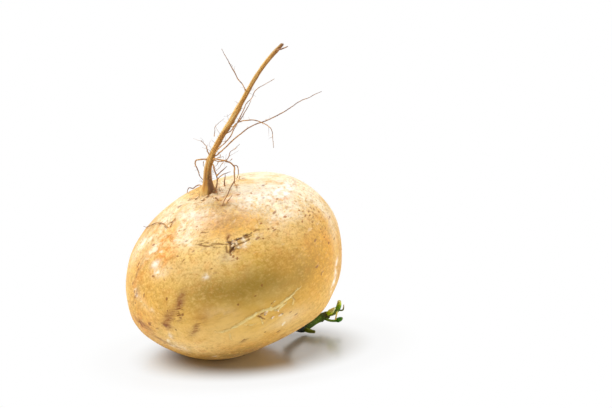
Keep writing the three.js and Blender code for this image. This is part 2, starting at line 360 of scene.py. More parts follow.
class Graph:
    """The node tree of a material or of the world, with short calls for its nodes."""

    def __init__(self, owner: bpy.types.ID) -> None:
        """Takes over a tree and empties it.

        Args:
            owner: the material or the world that the tree belongs to.
        """
        owner.use_nodes = True
        self.tree = owner.node_tree
        self.tree.nodes.clear()

    def node(self, kind: str, inputs: dict, **settings: str) -> bpy.types.Node:
        """Adds a node.

        Args:
            kind: the node's type, without its ShaderNode prefix.
            inputs: sockets by name or number, each linked to a socket or set to a constant.
            **settings: the node's properties.

        Returns:
            The node.
        """
        made = self.tree.nodes.new("ShaderNode" + kind)
        for key, value in settings.items():
            setattr(made, key, value)
        for key, value in inputs.items():
            if isinstance(value, Socket):
                self.tree.links.new(value, made.inputs[key])
            else:
                made.inputs[key].default_value = value
        return made

    def field(self, name: str, kind: str = "Fac") -> Socket:
        """A number, or a vector, kept on the mesh's vertices."""
        return self.node("Attribute", {}, attribute_name=name).outputs[kind]

    def math(self, operation: str, first: Socket | float, second: Socket | float) -> Socket:
        """One sum on numbers."""
        return self.node("Math", {0: first, 1: second}, operation=operation).outputs[0]

    def product(self, first: Socket, *factors: Socket | float) -> Socket:
        """The factors multiplied together."""
        return reduce(partial(self.math, "MULTIPLY"), factors, first)

    def total(self, first: Socket, *terms: Socket | float) -> Socket:
        """The terms added together."""
        return reduce(partial(self.math, "ADD"), terms, first)

    def weighed(self, pairs: list[tuple[Socket, float]]) -> Socket:
        """Values added together, each times its weight."""
        return self.total(*(self.product(value, weight) for value, weight in pairs if weight))

    def less(self, value: Socket, share: float) -> Socket:
        """1 less a share of the value."""
        return self.math("SUBTRACT", 1.0, self.product(value, share))

    def around(self, value: Socket, reach: float) -> Socket:
        """A value from 0 to 1 moved to lie round 0, times the reach."""
        return self.product(self.math("SUBTRACT", value, 0.5), reach)

    def step(self, value: Socket, low: float, high: float, top: float = 1.0) -> Socket:
        """A smooth step on a number.

        Args:
            value: the number.
            low: where the step is 0.
            high: where it has reached its top; below low, it falls instead.
            top: the value at high.

        Returns:
            The step.
        """
        ends = {"From Min": min(low, high), "From Max": max(low, high)}
        ends |= {"To Min": top, "To Max": 0.0} if low > high else {"To Min": 0.0, "To Max": top}
        return self.node("MapRange", {"Value": value, **ends}, interpolation_type="SMOOTHSTEP").outputs[0]

    def vector(self, operation: str, inputs: dict, output: str = "Vector") -> Socket:
        """One sum on vectors."""
        return self.node("VectorMath", inputs, operation=operation).outputs[output]

    def moved(self, vector: Socket, turn: tuple = (0, 0, 0), scale: tuple = (1, 1, 1)) -> Socket:
        """A vector scaled along the axes and then turned by angles in radians."""
        return self.node("Mapping", {"Vector": vector, "Rotation": turn, "Scale": scale}).outputs[0]

    def drawn(self, vector: Socket, across: float, along: float) -> Socket:
        """A vector scaled across and along Z, which draws a pattern out where a scale is small."""
        return self.moved(vector, scale=(across, across, along))

    def noise(self, vector: Socket, scale: float, detail: float = 3, rough: float = 0.55) -> Socket:
        """Noise from 0 to 1 with this many cells in a metre."""
        inputs = {"Vector": vector, "Scale": scale, "Detail": detail, "Roughness": rough}
        return self.node("TexNoise", inputs).outputs[0]

    def cloudy(
        self, vector: Socket, scale: float, detail: float, rough: float,
        low: float, high: float, top: float = 1.0,
    ) -> Socket:
        """Patches of noise: nothing where it is at low, and top where it is at high."""
        return self.step(self.noise(vector, scale, detail, rough), low, high, top)

    def warped(self, vector: Socket, scale: float, amount: float) -> Socket:
        """A vector pushed about by noise, so that what is drawn on it has ragged outlines.

        Args:
            vector: the vector.
            scale: cells of the noise in a metre.
            amount: how far it pushes, in metres.

        Returns:
            The vector plus amount * (noise - 0.5).
        """
        noise = self.node("TexNoise", {"Vector": vector, "Scale": scale, "Detail": 2.0}).outputs[1]
        centred = self.vector("SUBTRACT", {0: noise, 1: (0.5, 0.5, 0.5)})
        return self.vector("ADD", {0: vector, 1: self.vector("SCALE", {0: centred, "Scale": amount})})

    def cells(self, vector: Socket, scale: float) -> tuple[Socket, Socket]:
        """Random cells: the distance to a cell's middle in cell sizes, and a random number for the cell."""
        made = self.node("TexVoronoi", {"Vector": vector, "Scale": scale})
        return made.outputs["Distance"], self.node("SeparateColor", {0: made.outputs["Color"]}).outputs[0]

    def mix(self, share: Socket, first: Socket | tuple, second: Socket | tuple) -> Socket:
        """Two colours mixed by a share."""
        return self.node("Mix", {0: share, 6: first, 7: second}, data_type="RGBA").outputs[2]

    def ramp(self, value: Socket, stops: tuple) -> Socket:
        """A colour read from stops.

        Args:
            value: what it is read by.
            stops: places from 0 to 1, each with a colour code.

        Returns:
            The colour.
        """
        made = self.node("ValToRGB", {0: value})
        elements = made.color_ramp.elements
        for element, (place, code) in zip(elements, (stops[0], stops[-1])):
            element.position, element.color = place, tone(code)
        for place, code in stops[1:-1]:
            elements.new(place).color = tone(code)
        return made.outputs[0]


class Coat(Graph):
    """A material's tree, which gathers the colour, relief and roughness of all that is laid on it."""

    def __init__(self, name: str) -> None:
        """Starts a material.

        Args:
            name: the material's name.
        """
        self.material = bpy.data.materials.new(name)
        super().__init__(self.material)
        self.place = self.node("TexCoord", {}).outputs["Object"]
        self.colour, self.heights, self.dulls = None, [], []

    def emboss(self, value: Socket, height: float, dull: float = 0.0) -> None:
        """Adds a value to the relief, times millimetres, and to the roughness, times a share."""
        self.heights.append((value, height))
        self.dulls.append((value, dull))

    def lay(
        self, share: Socket, colour: Socket | str,
        strength: float = 1.0, height: float = 0.0, dull: float = 0.0,
    ) -> None:
        """Lays a mark over what is there.

        Args:
            share: where the mark is.
            colour: a colour, or its code.
            strength: how much of what is under it the mark hides.
            height: its relief in millimetres.
            dull: what it adds to the roughness.
        """
        hiding = self.product(share, strength) if strength < 1 else share
        self.colour = self.mix(hiding, self.colour, tone(colour) if isinstance(colour, str) else colour)
        self.emboss(share, height, dull)

    def finish(self, roughness: float, specular: float) -> bpy.types.Material:
        """Wires the shader to all that was laid.

        Args:
            roughness: roughness under what was added to it.
            specular: the shader's specular level.

        Returns:
            The material.
        """
        relief = {"Height": self.weighed(self.heights), "Distance": MM, "Strength": 1.0}
        dull = self.weighed(self.dulls)
        inputs = {
            "Base Color": self.colour, "Roughness": self.total(dull, roughness),
            "Specular IOR Level": specular, "Normal": self.node("Bump", relief).outputs[0],
        }
        self.node("OutputMaterial", {"Surface": self.node("BsdfPrincipled", inputs).outputs[0]})
        return self.material


class SkinCoat(Coat):
    """The skin's coat, with the places that its patterns are drawn on.

    Level is turned so that Z runs along the root axis, ragged is pushed about by noise, and lying is
    level drawn out square to the root axis and then pushed about.
    """

    def __init__(self, name: str, root_axis: np.ndarray) -> None:
        """Starts the skin's material.

        Args:
            name: the material's name.
            root_axis: the unit direction of the root axis.
        """
        super().__init__(name)
        turn = Vector(root_axis).rotation_difference(Vector((0, 0, 1))).to_euler()
        self.level = self.moved(self.place, turn=turn)
        self.ragged = self.warped(self.place, 320, 0.0022)
        self.lying = self.warped(self.drawn(self.level, 0.6, 1.5), 320, 0.0022)


@dataclass(frozen=True)
class SkinFinish:
    """Thin papery skin: golden tan with pale and orange areas, lenticel specks, scuffs and healed cracks,
    with painted light and shade: an olive band of painted shade across the front and pale painted highlight
    on top.
    """

    tan: str = "D5A349"
    deep: str = "B37C29"
    olive_and_shade: str = "A07E2C"
    honey: str = "DC9E30"
    gold: str = "E3B554"
    straw: str = "EDC97C"
    cream: str = "F7ECD0"
    chalk_and_glint: str = "FCF6E9"
    rust: str = "D98A38"
    bruise: str = "8E5A38"
    speck: str = "8A5020"
    fleck: str = "BE7630"
    glow: str = "F2BC4C"
    dark: str = "684220"
    strand: str = "8A602A"
    cork: str = "F2E09C"
    soil: str = "8A6238"

    def ground(self, g: SkinCoat) -> None:
        """Lays the skin's colour, before any mark: clouds, areas of other tones, mottling and grain. The
        olive areas across the front are painted shade, the pale areas on top are partly painted highlight,
        and the light areas low on the front are partly painted bounce light.

        Args:
            g: the coat.
        """
        stops = ((0.30, self.deep), (0.43, self.tan), (0.56, self.gold), (0.72, self.straw))
        g.colour = g.ramp(g.noise(g.place, 26, 6, 0.62), stops)
        g.lay(g.cloudy(g.drawn(g.level, 1, 5), 110, 4, 0.6, 0.44, 0.74, 0.40), self.deep)
        for name, scale, detail, rough, low, high, top, code in (
            ("golden", 80, 4, 0.55, 0.20, 0.55, 0.90, self.honey),
            # painted shade: the olive areas across the middle of the front
            ("olive_and_shade", 70, 3, 0.55, 0.05, 0.60, 1.00, self.olive_and_shade),
            # partly painted bounce light: the light areas low on the front
            ("light", 60, 4, 0.55, 0.20, 0.50, 0.90, self.straw),
            # partly painted highlight: the pale areas high on the top
            ("pale", 75, 4, 0.55, 0.22, 0.60, 0.90, self.cream),
            ("orange", 190, 4, 0.65, 0.38, 0.60, 0.85, self.rust),
        ):
            g.lay(g.product(g.field(name), g.cloudy(g.ragged, scale, detail, rough, low, high, top)), code)
        calm = g.less(g.field("smooth"), 0.72)
        light = g.mix(g.field("golden"), tone(self.straw), tone(self.glow))
        hue = g.noise(g.place, 140, 4, 0.6)
        mottle = g.noise(g.drawn(g.ragged, 1, 1.6), 330, 4, 0.62)
        grain = g.noise(g.place, 900, 3, 0.6)
        for noise, low, high, top, colour in (
            (hue, 0.50, 0.70, 0.34, self.rust),
            (hue, 0.50, 0.30, 0.36, self.olive_and_shade),
            (mottle, 0.51, 0.68, 0.62, self.deep),
            (mottle, 0.49, 0.32, 0.60, light),
            (grain, 0.48, 0.70, 0.50, self.deep),
            (grain, 0.50, 0.30, 0.42, light),
        ):
            g.lay(g.product(calm, g.step(noise, low, high, top)), colour)

    def specks(self, g: SkinCoat) -> None:
        """Lays papery flakes, chalky areas that are partly painted highlight, flecks, ringed specks,
        lenticels, dashes and dark spots.

        Args:
            g: the coat.
        """
        kept = g.product(g.field("smooth"), -0.12)
        flaking = g.total(g.noise(g.lying, 170, 5, 0.62), g.product(g.field("cream"), 0.26), kept)
        g.lay(g.step(flaking, 0.61, 0.75, 0.62), self.cream, height=0.10, dull=0.16)
        # chalky white areas; those on the top right and on the right edge are partly painted highlight
        chalk_and_glint = g.product(g.field("white"), g.cloudy(g.ragged, 260, 4, 0.55, 0.32, 0.64))
        g.lay(chalk_and_glint, self.chalk_and_glint, dull=0.16)
        flecking = g.total(g.noise(g.lying, 620, 4, 0.6), g.product(g.field("pale"), 0.05), kept)
        g.lay(g.product(g.less(g.field("pale"), 0.4), g.step(flecking, 0.60, 0.70, 0.55)), self.fleck)
        gap, luck = g.cells(g.warped(g.drawn(g.level, 1, 1.7), 500, 0.0008), 330)
        chosen = g.product(g.less(g.field("smooth"), 0.7), g.step(luck, 0.50, 0.60))
        g.lay(g.product(chosen, g.step(gap, 0.40, 0.24, 0.40)), self.straw)
        g.lay(g.product(chosen, g.step(gap, 0.24, 0.12)), self.fleck, 0.50, 0.09)
        gap, luck = g.cells(g.warped(g.drawn(g.level, 0.55, 1.5), 420, 0.0012), 150)
        g.lay(g.product(g.step(gap, 0.17, 0.08), g.step(luck, 0.56, 0.62)), self.bruise, 0.75, 0.14)
        gap, luck = g.cells(g.warped(g.drawn(g.level, 0.6, 1.5), 600, 0.0010), 420)
        dashes = g.product(g.step(gap, 0.34, 0.18), g.step(luck, 0.35, 0.45), g.field("dashes"))
        g.lay(dashes, self.speck, 0.80, -0.12)
        spots = g.step(g.total(g.field("spot"), g.product(g.noise(g.ragged, 900, 3), 0.5)), 0.62, 0.92)
        spot_tone = g.mix(g.product(g.field("pale"), 0.7), tone(self.speck), tone(self.fleck))
        g.lay(spots, spot_tone, 0.80, 0.09)

    def wear(self, g: SkinCoat) -> None:
        """Lays scuffs, as a haze with stripes square to the root axis in it, and soil.

        Args:
            g: the coat.
        """
        scuff = g.field("scuff")
        g.lay(g.product(scuff, g.cloudy(g.ragged, 130, 4, 0.55, 0.28, 0.56, 0.70)), self.bruise)
        stripes = g.cloudy(g.drawn(g.warped(g.level, 240, 0.0016), 0.35, 1.6), 620, 4, 0.65, 0.46, 0.60)
        g.lay(g.product(scuff, stripes), self.speck, 0.80, -0.10, 0.16)
        g.lay(g.product(g.field("soil"), g.cloudy(g.ragged, 420, 4, 0.55, 0.34, 0.62)), self.soil, 0.85)

    def breaks(self, g: SkinCoat) -> None:
        """Lays corky cracks with their shade, dark strands, dashes, and scars with rims and lint.

        Each kind is drawn where the gap to its line, in half widths and torn by noise, is small.

        Args:
            g: the coat.
        """
        broken = g.noise(g.ragged, 230, 3, 0.6)
        torn = g.noise(g.ragged, 700, 4, 0.65)
        crack = g.total(g.field("crack"), g.product(torn, 3.0), g.step(broken, 0.42, 0.30, 1.2))
        shade = g.product(g.step(crack, 3.9, 3.0), g.step(crack, 2.4, 3.0), g.step(broken, 0.40, 0.60))
        g.lay(shade, self.deep, 0.40)
        corky = g.total(g.cloudy(g.lying, 300, 3, 0.55, 0.36, 0.60, 0.5), 0.5)
        cork = g.product(g.step(crack, 2.9, 1.9), corky)
        g.lay(cork, self.cork, 0.78, 0.22, 0.16)
        g.emboss(g.product(cork, g.noise(g.place, 1500, 2)), 0.25)
        strand = g.total(g.field("strand"), g.product(torn, 1.6), g.step(broken, 0.44, 0.32, 0.9))
        g.lay(g.step(strand, 2.1, 1.4), self.strand, 0.85, -0.15)
        dash = g.total(g.field("dash"), g.product(torn, 1.2))
        g.lay(g.step(dash, 1.75, 1.15), self.speck, 0.88, -0.15)
        scar = g.total(g.field("scar"), g.product(torn, 1.6))
        rim = g.product(g.step(scar, 4.2, 2.4, 0.9), g.cloudy(g.ragged, 520, 3, 0.55, 0.40, 0.58))
        g.lay(rim, self.strand)
        g.lay(g.step(scar, 2.1, 1.5), self.dark, 0.95, -0.2, 0.16)
        lint = g.product(g.step(scar, 5.5, 3.0), g.cloudy(g.ragged, 620, 3, 0.55, 0.61, 0.69, 0.6))
        g.lay(lint, self.cream)

    def build(self, root_axis: np.ndarray) -> bpy.types.Material:
        """Makes the material.

        Args:
            root_axis: direction of the root axis, which the lenticels lie square to.

        Returns:
            The material.
        """
        g = SkinCoat("papery_skin", root_axis)
        for layer in (self.ground, self.specks, self.wear, self.breaks):
            layer(g)
        g.emboss(g.noise(g.place, 420, 4, 0.6), 0.18)
        g.emboss(g.noise(g.drawn(g.level, 1, 5), 260, 3), 0.16)
        g.emboss(g.noise(g.place, 2200, 2), 0.05)
        g.emboss(g.noise(g.ragged, 140, 3), 0.0, 0.16)
        return g.finish(0.44, 0.24)


@dataclass(frozen=True)
class BarkFinish:
    """Fibrous bark of the tap root: long streaks of tan, orange and brown, crossed by short cracks, with
    painted light and shade: paler on the lit side, browner on the shaded side, and dark in the groove.
    """

    tan: str = "D0A152"
    orange: str = "C88A3C"
    brown: str = "90622A"
    dark: str = "4E2E24"
    pale: str = "EBCC8C"

    def build(self) -> bpy.types.Material:
        """Makes the material, whose patterns run along the unbent rod kept in the straight field.

        Returns:
            The material.
        """
        g = Coat("tail_bark")
        wavy = g.warped(g.field("straight", "Vector"), 130, 0.0011)
        streaks = g.noise(g.drawn(wavy, 1, 0.14), 460, 3, 0.55)
        stops = ((0.34, self.brown), (0.46, self.orange), (0.57, self.tan), (0.74, self.pale))
        g.colour = g.ramp(streaks, stops)
        g.emboss(streaks, 0.30, 0.25)
        g.lay(g.cloudy(g.drawn(wavy, 1, 0.4), 180, 3, 0.55, 0.48, 0.70, 0.55), self.orange)
        g.lay(g.field("skin"), self.pale, 0.60)
        # painted light and shade: the side field runs from the lit side to the shaded side of the tail, which
        # are painted paler and browner
        side = g.total(g.field("side"), g.around(streaks, 0.7))
        g.lay(g.step(side, 0.34, 0.12, 0.75), self.pale)
        g.lay(g.step(side, 0.66, 0.86, 0.85), self.brown)
        fine = g.noise(g.drawn(wavy, 1, 0.10), 1100, 3, 0.6)
        g.lay(g.step(fine, 0.50, 0.72, 0.45), self.brown)
        g.emboss(fine, 0.08)
        cracks = g.cloudy(g.drawn(wavy, 0.25, 1.6), 330, 4, 0.6, 0.62, 0.72, 0.26)
        g.lay(cracks, self.dark, height=-0.08)
        # painted shade: the groove up the lower tail is darkened
        g.lay(g.field("groove"), self.dark, 0.66)
        g.lay(g.field("ageing"), self.dark)
        return g.finish(0.55, 0.3)


@dataclass(frozen=True)
class ThreadFinish:
    """Thin dry side roots: tan near the base, in places dark purple brown, with a fine lengthwise grain."""

    tan: str = "C8924A"
    brown: str = "9E6E40"
    plum: str = "785848"
    pale: str = "DEB676"

    def build(self) -> bpy.types.Material:
        """Makes the material.

        Returns:
            The material.
        """
        g = Coat("root_thread")
        straight = g.field("straight", "Vector")
        stops = ((0.26, self.plum), (0.40, self.brown), (0.52, self.tan), (0.68, self.pale))
        aged = g.product(g.field("ageing"), -0.22)
        g.colour = g.ramp(g.total(g.noise(straight, 330, 3, 0.6), aged), stops)
        grain = g.noise(g.drawn(straight, 1, 0.15), 3000, 2)
        g.lay(g.step(grain, 0.45, 0.70, 0.45), self.brown)
        g.emboss(grain, 0.08, 0.2)
        return g.finish(0.5, 0.35)


@dataclass(frozen=True)
class VineFinish:
    """Green vine: ribs and pores along the stem, its colour read from stops along its length."""

    name: str
    stops: tuple
    fleck: str = "20280E"
    bloom: str = "A9B06A"
    pith: str = "D9D58E"
    wet_pith: str = "EFEBC0"

    def build(self) -> bpy.types.Material:
        """Makes the material.

        Returns:
            The material.
        """
        g = Coat(self.name)
        straight = g.field("straight", "Vector")
        wander = g.around(g.noise(straight, 420, 3), 0.30)
        g.colour = g.ramp(g.total(g.field("share"), wander), self.stops)
        ribs = g.noise(g.drawn(straight, 1, 0.08), 1500, 3, 0.6)
        g.lay(g.step(ribs, 0.50, 0.72, 0.45), self.fleck)
        g.emboss(ribs, 0.25)
        pores = g.noise(g.drawn(straight, 1, 0.5), 1900, 2)
        g.lay(g.step(pores, 0.60, 0.72, 0.40), self.bloom)
        g.emboss(pores, 0.08, 0.2)
        g.lay(g.field("cut"), g.ramp(g.noise(g.place, 2500, 2), ((0.4, self.pith), (0.6, self.wet_pith))))
        return g.finish(0.5, 0.10)


@dataclass(frozen=True)
class PeelFinish:
    """Dry peelings of skin: pale, thin and brown at the lifted edge."""

    pale: str = "F0DDB4"
    tan: str = "C9975A"
    brown: str = "7A4E2A"

    def build(self) -> bpy.types.Material:
        """Makes the material.

        Returns:
            The material.
        """
        g = Coat("dry_peel")
        grain = g.noise(g.place, 900, 4, 0.6)
        g.colour = g.ramp(grain, ((0.35, self.tan), (0.60, self.pale)))
        g.lay(g.step(g.total(g.field("lift"), g.product(grain, 0.4)), 0.75, 1.25, 0.8), self.brown)
        g.emboss(grain, 0.15, 0.2)
        return g.finish(0.5, 0.35)


# ---- The swollen root --------------------------------------------------------------------------------


def bell(
    out: np.ndarray, bearing: float, height: float, turn: float, long: float, wide: float, rise: float = 1.0
) -> np.ndarray:
    """A bell-shaped area of the skin.

    The value is rise * exp(-(along / long)^2 - (across / wide)^2), where along and across are the
    angles from the middle, measured along and across the long way.

    Args:
        out: unit vectors from the middle of the root.
        bearing: bearing of the area's middle.
        height: height of the area's middle.
        turn: turn of its long way from level, in degrees.
        long: its spread along the long way, in degrees.
        wide: its spread across that.
        rise: its value in the middle.

    Returns:
        One value for each vector.
    """
    centre = direction(bearing, height)
    east = direction(bearing + 90, 0.0)
    angle = math.radians(turn)
    long_way = east * math.cos(angle) + np.cross(centre, east) * math.sin(angle)
    along = np.degrees(np.arctan2(out @ long_way, out @ centre))
    across = np.degrees(np.arcsin(np.clip(out @ np.cross(centre, long_way), -1, 1)))
    return rise * np.exp(-((along / long) ** 2) - (across / wide) ** 2)


def bells(out: np.ndarray, areas: tuple) -> np.ndarray:
    """The sum of bell-shaped areas, each given as bell takes it."""
    return sum(bell(out, *area) for area in areas)


class Patch(Enum):
    """Kinds of area on the skin, named as the fields that the finish reads."""

    PALE_AND_SHEEN = "pale"
    CREAM = "cream"
    ORANGE = "orange"
    WHITE = "white"
    DASHES = "dashes"
    SCUFF = "scuff"
    SOIL = "soil"
    LIGHT = "light"
    OLIVE_AND_SHADE = "olive_and_shade"
    GOLDEN = "golden"
    SMOOTH = "smooth"
    SPOT = "spot"


class Line(Enum):
    """Kinds of line on the skin, named as the fields that the finish reads."""

    CRACK = "crack"
    SCAR = "scar"
    STRAND = "strand"
    DASH = "dash"


# Broad swellings and hollows: bearing, height, turn, spreads in degrees, and rise in millimetres.
SWELLINGS = (
    (58, -30, 15, 48, 17, 1.8), (40, 6, 8, 48, 13, -0.9), (-12, 52, 0, 34, 16, 1),
    (112, 54, 0, 26, 17, 1.6), (92, -10, 90, 16, 16, 2.6), (67, -21, -45, 18, 14, 2.6),
    (-71, -25, 0, 9, 9, 0.9), (-90, 8, 90, 26, 20, 0.8), (-76, -34, 20, 26, 16, 1.4),
    (-44, -62, 0, 30, 16, 2.2), (80, -78, 10, 26, 20, 2.8), (178, -8, 5, 50, 20, 1.6),
    (-150, 22, -10, 40, 14, -1), (-53, 70, 0, 9, 9, 1.2), (113, -50, 0, 9, 9, 1.4),
)

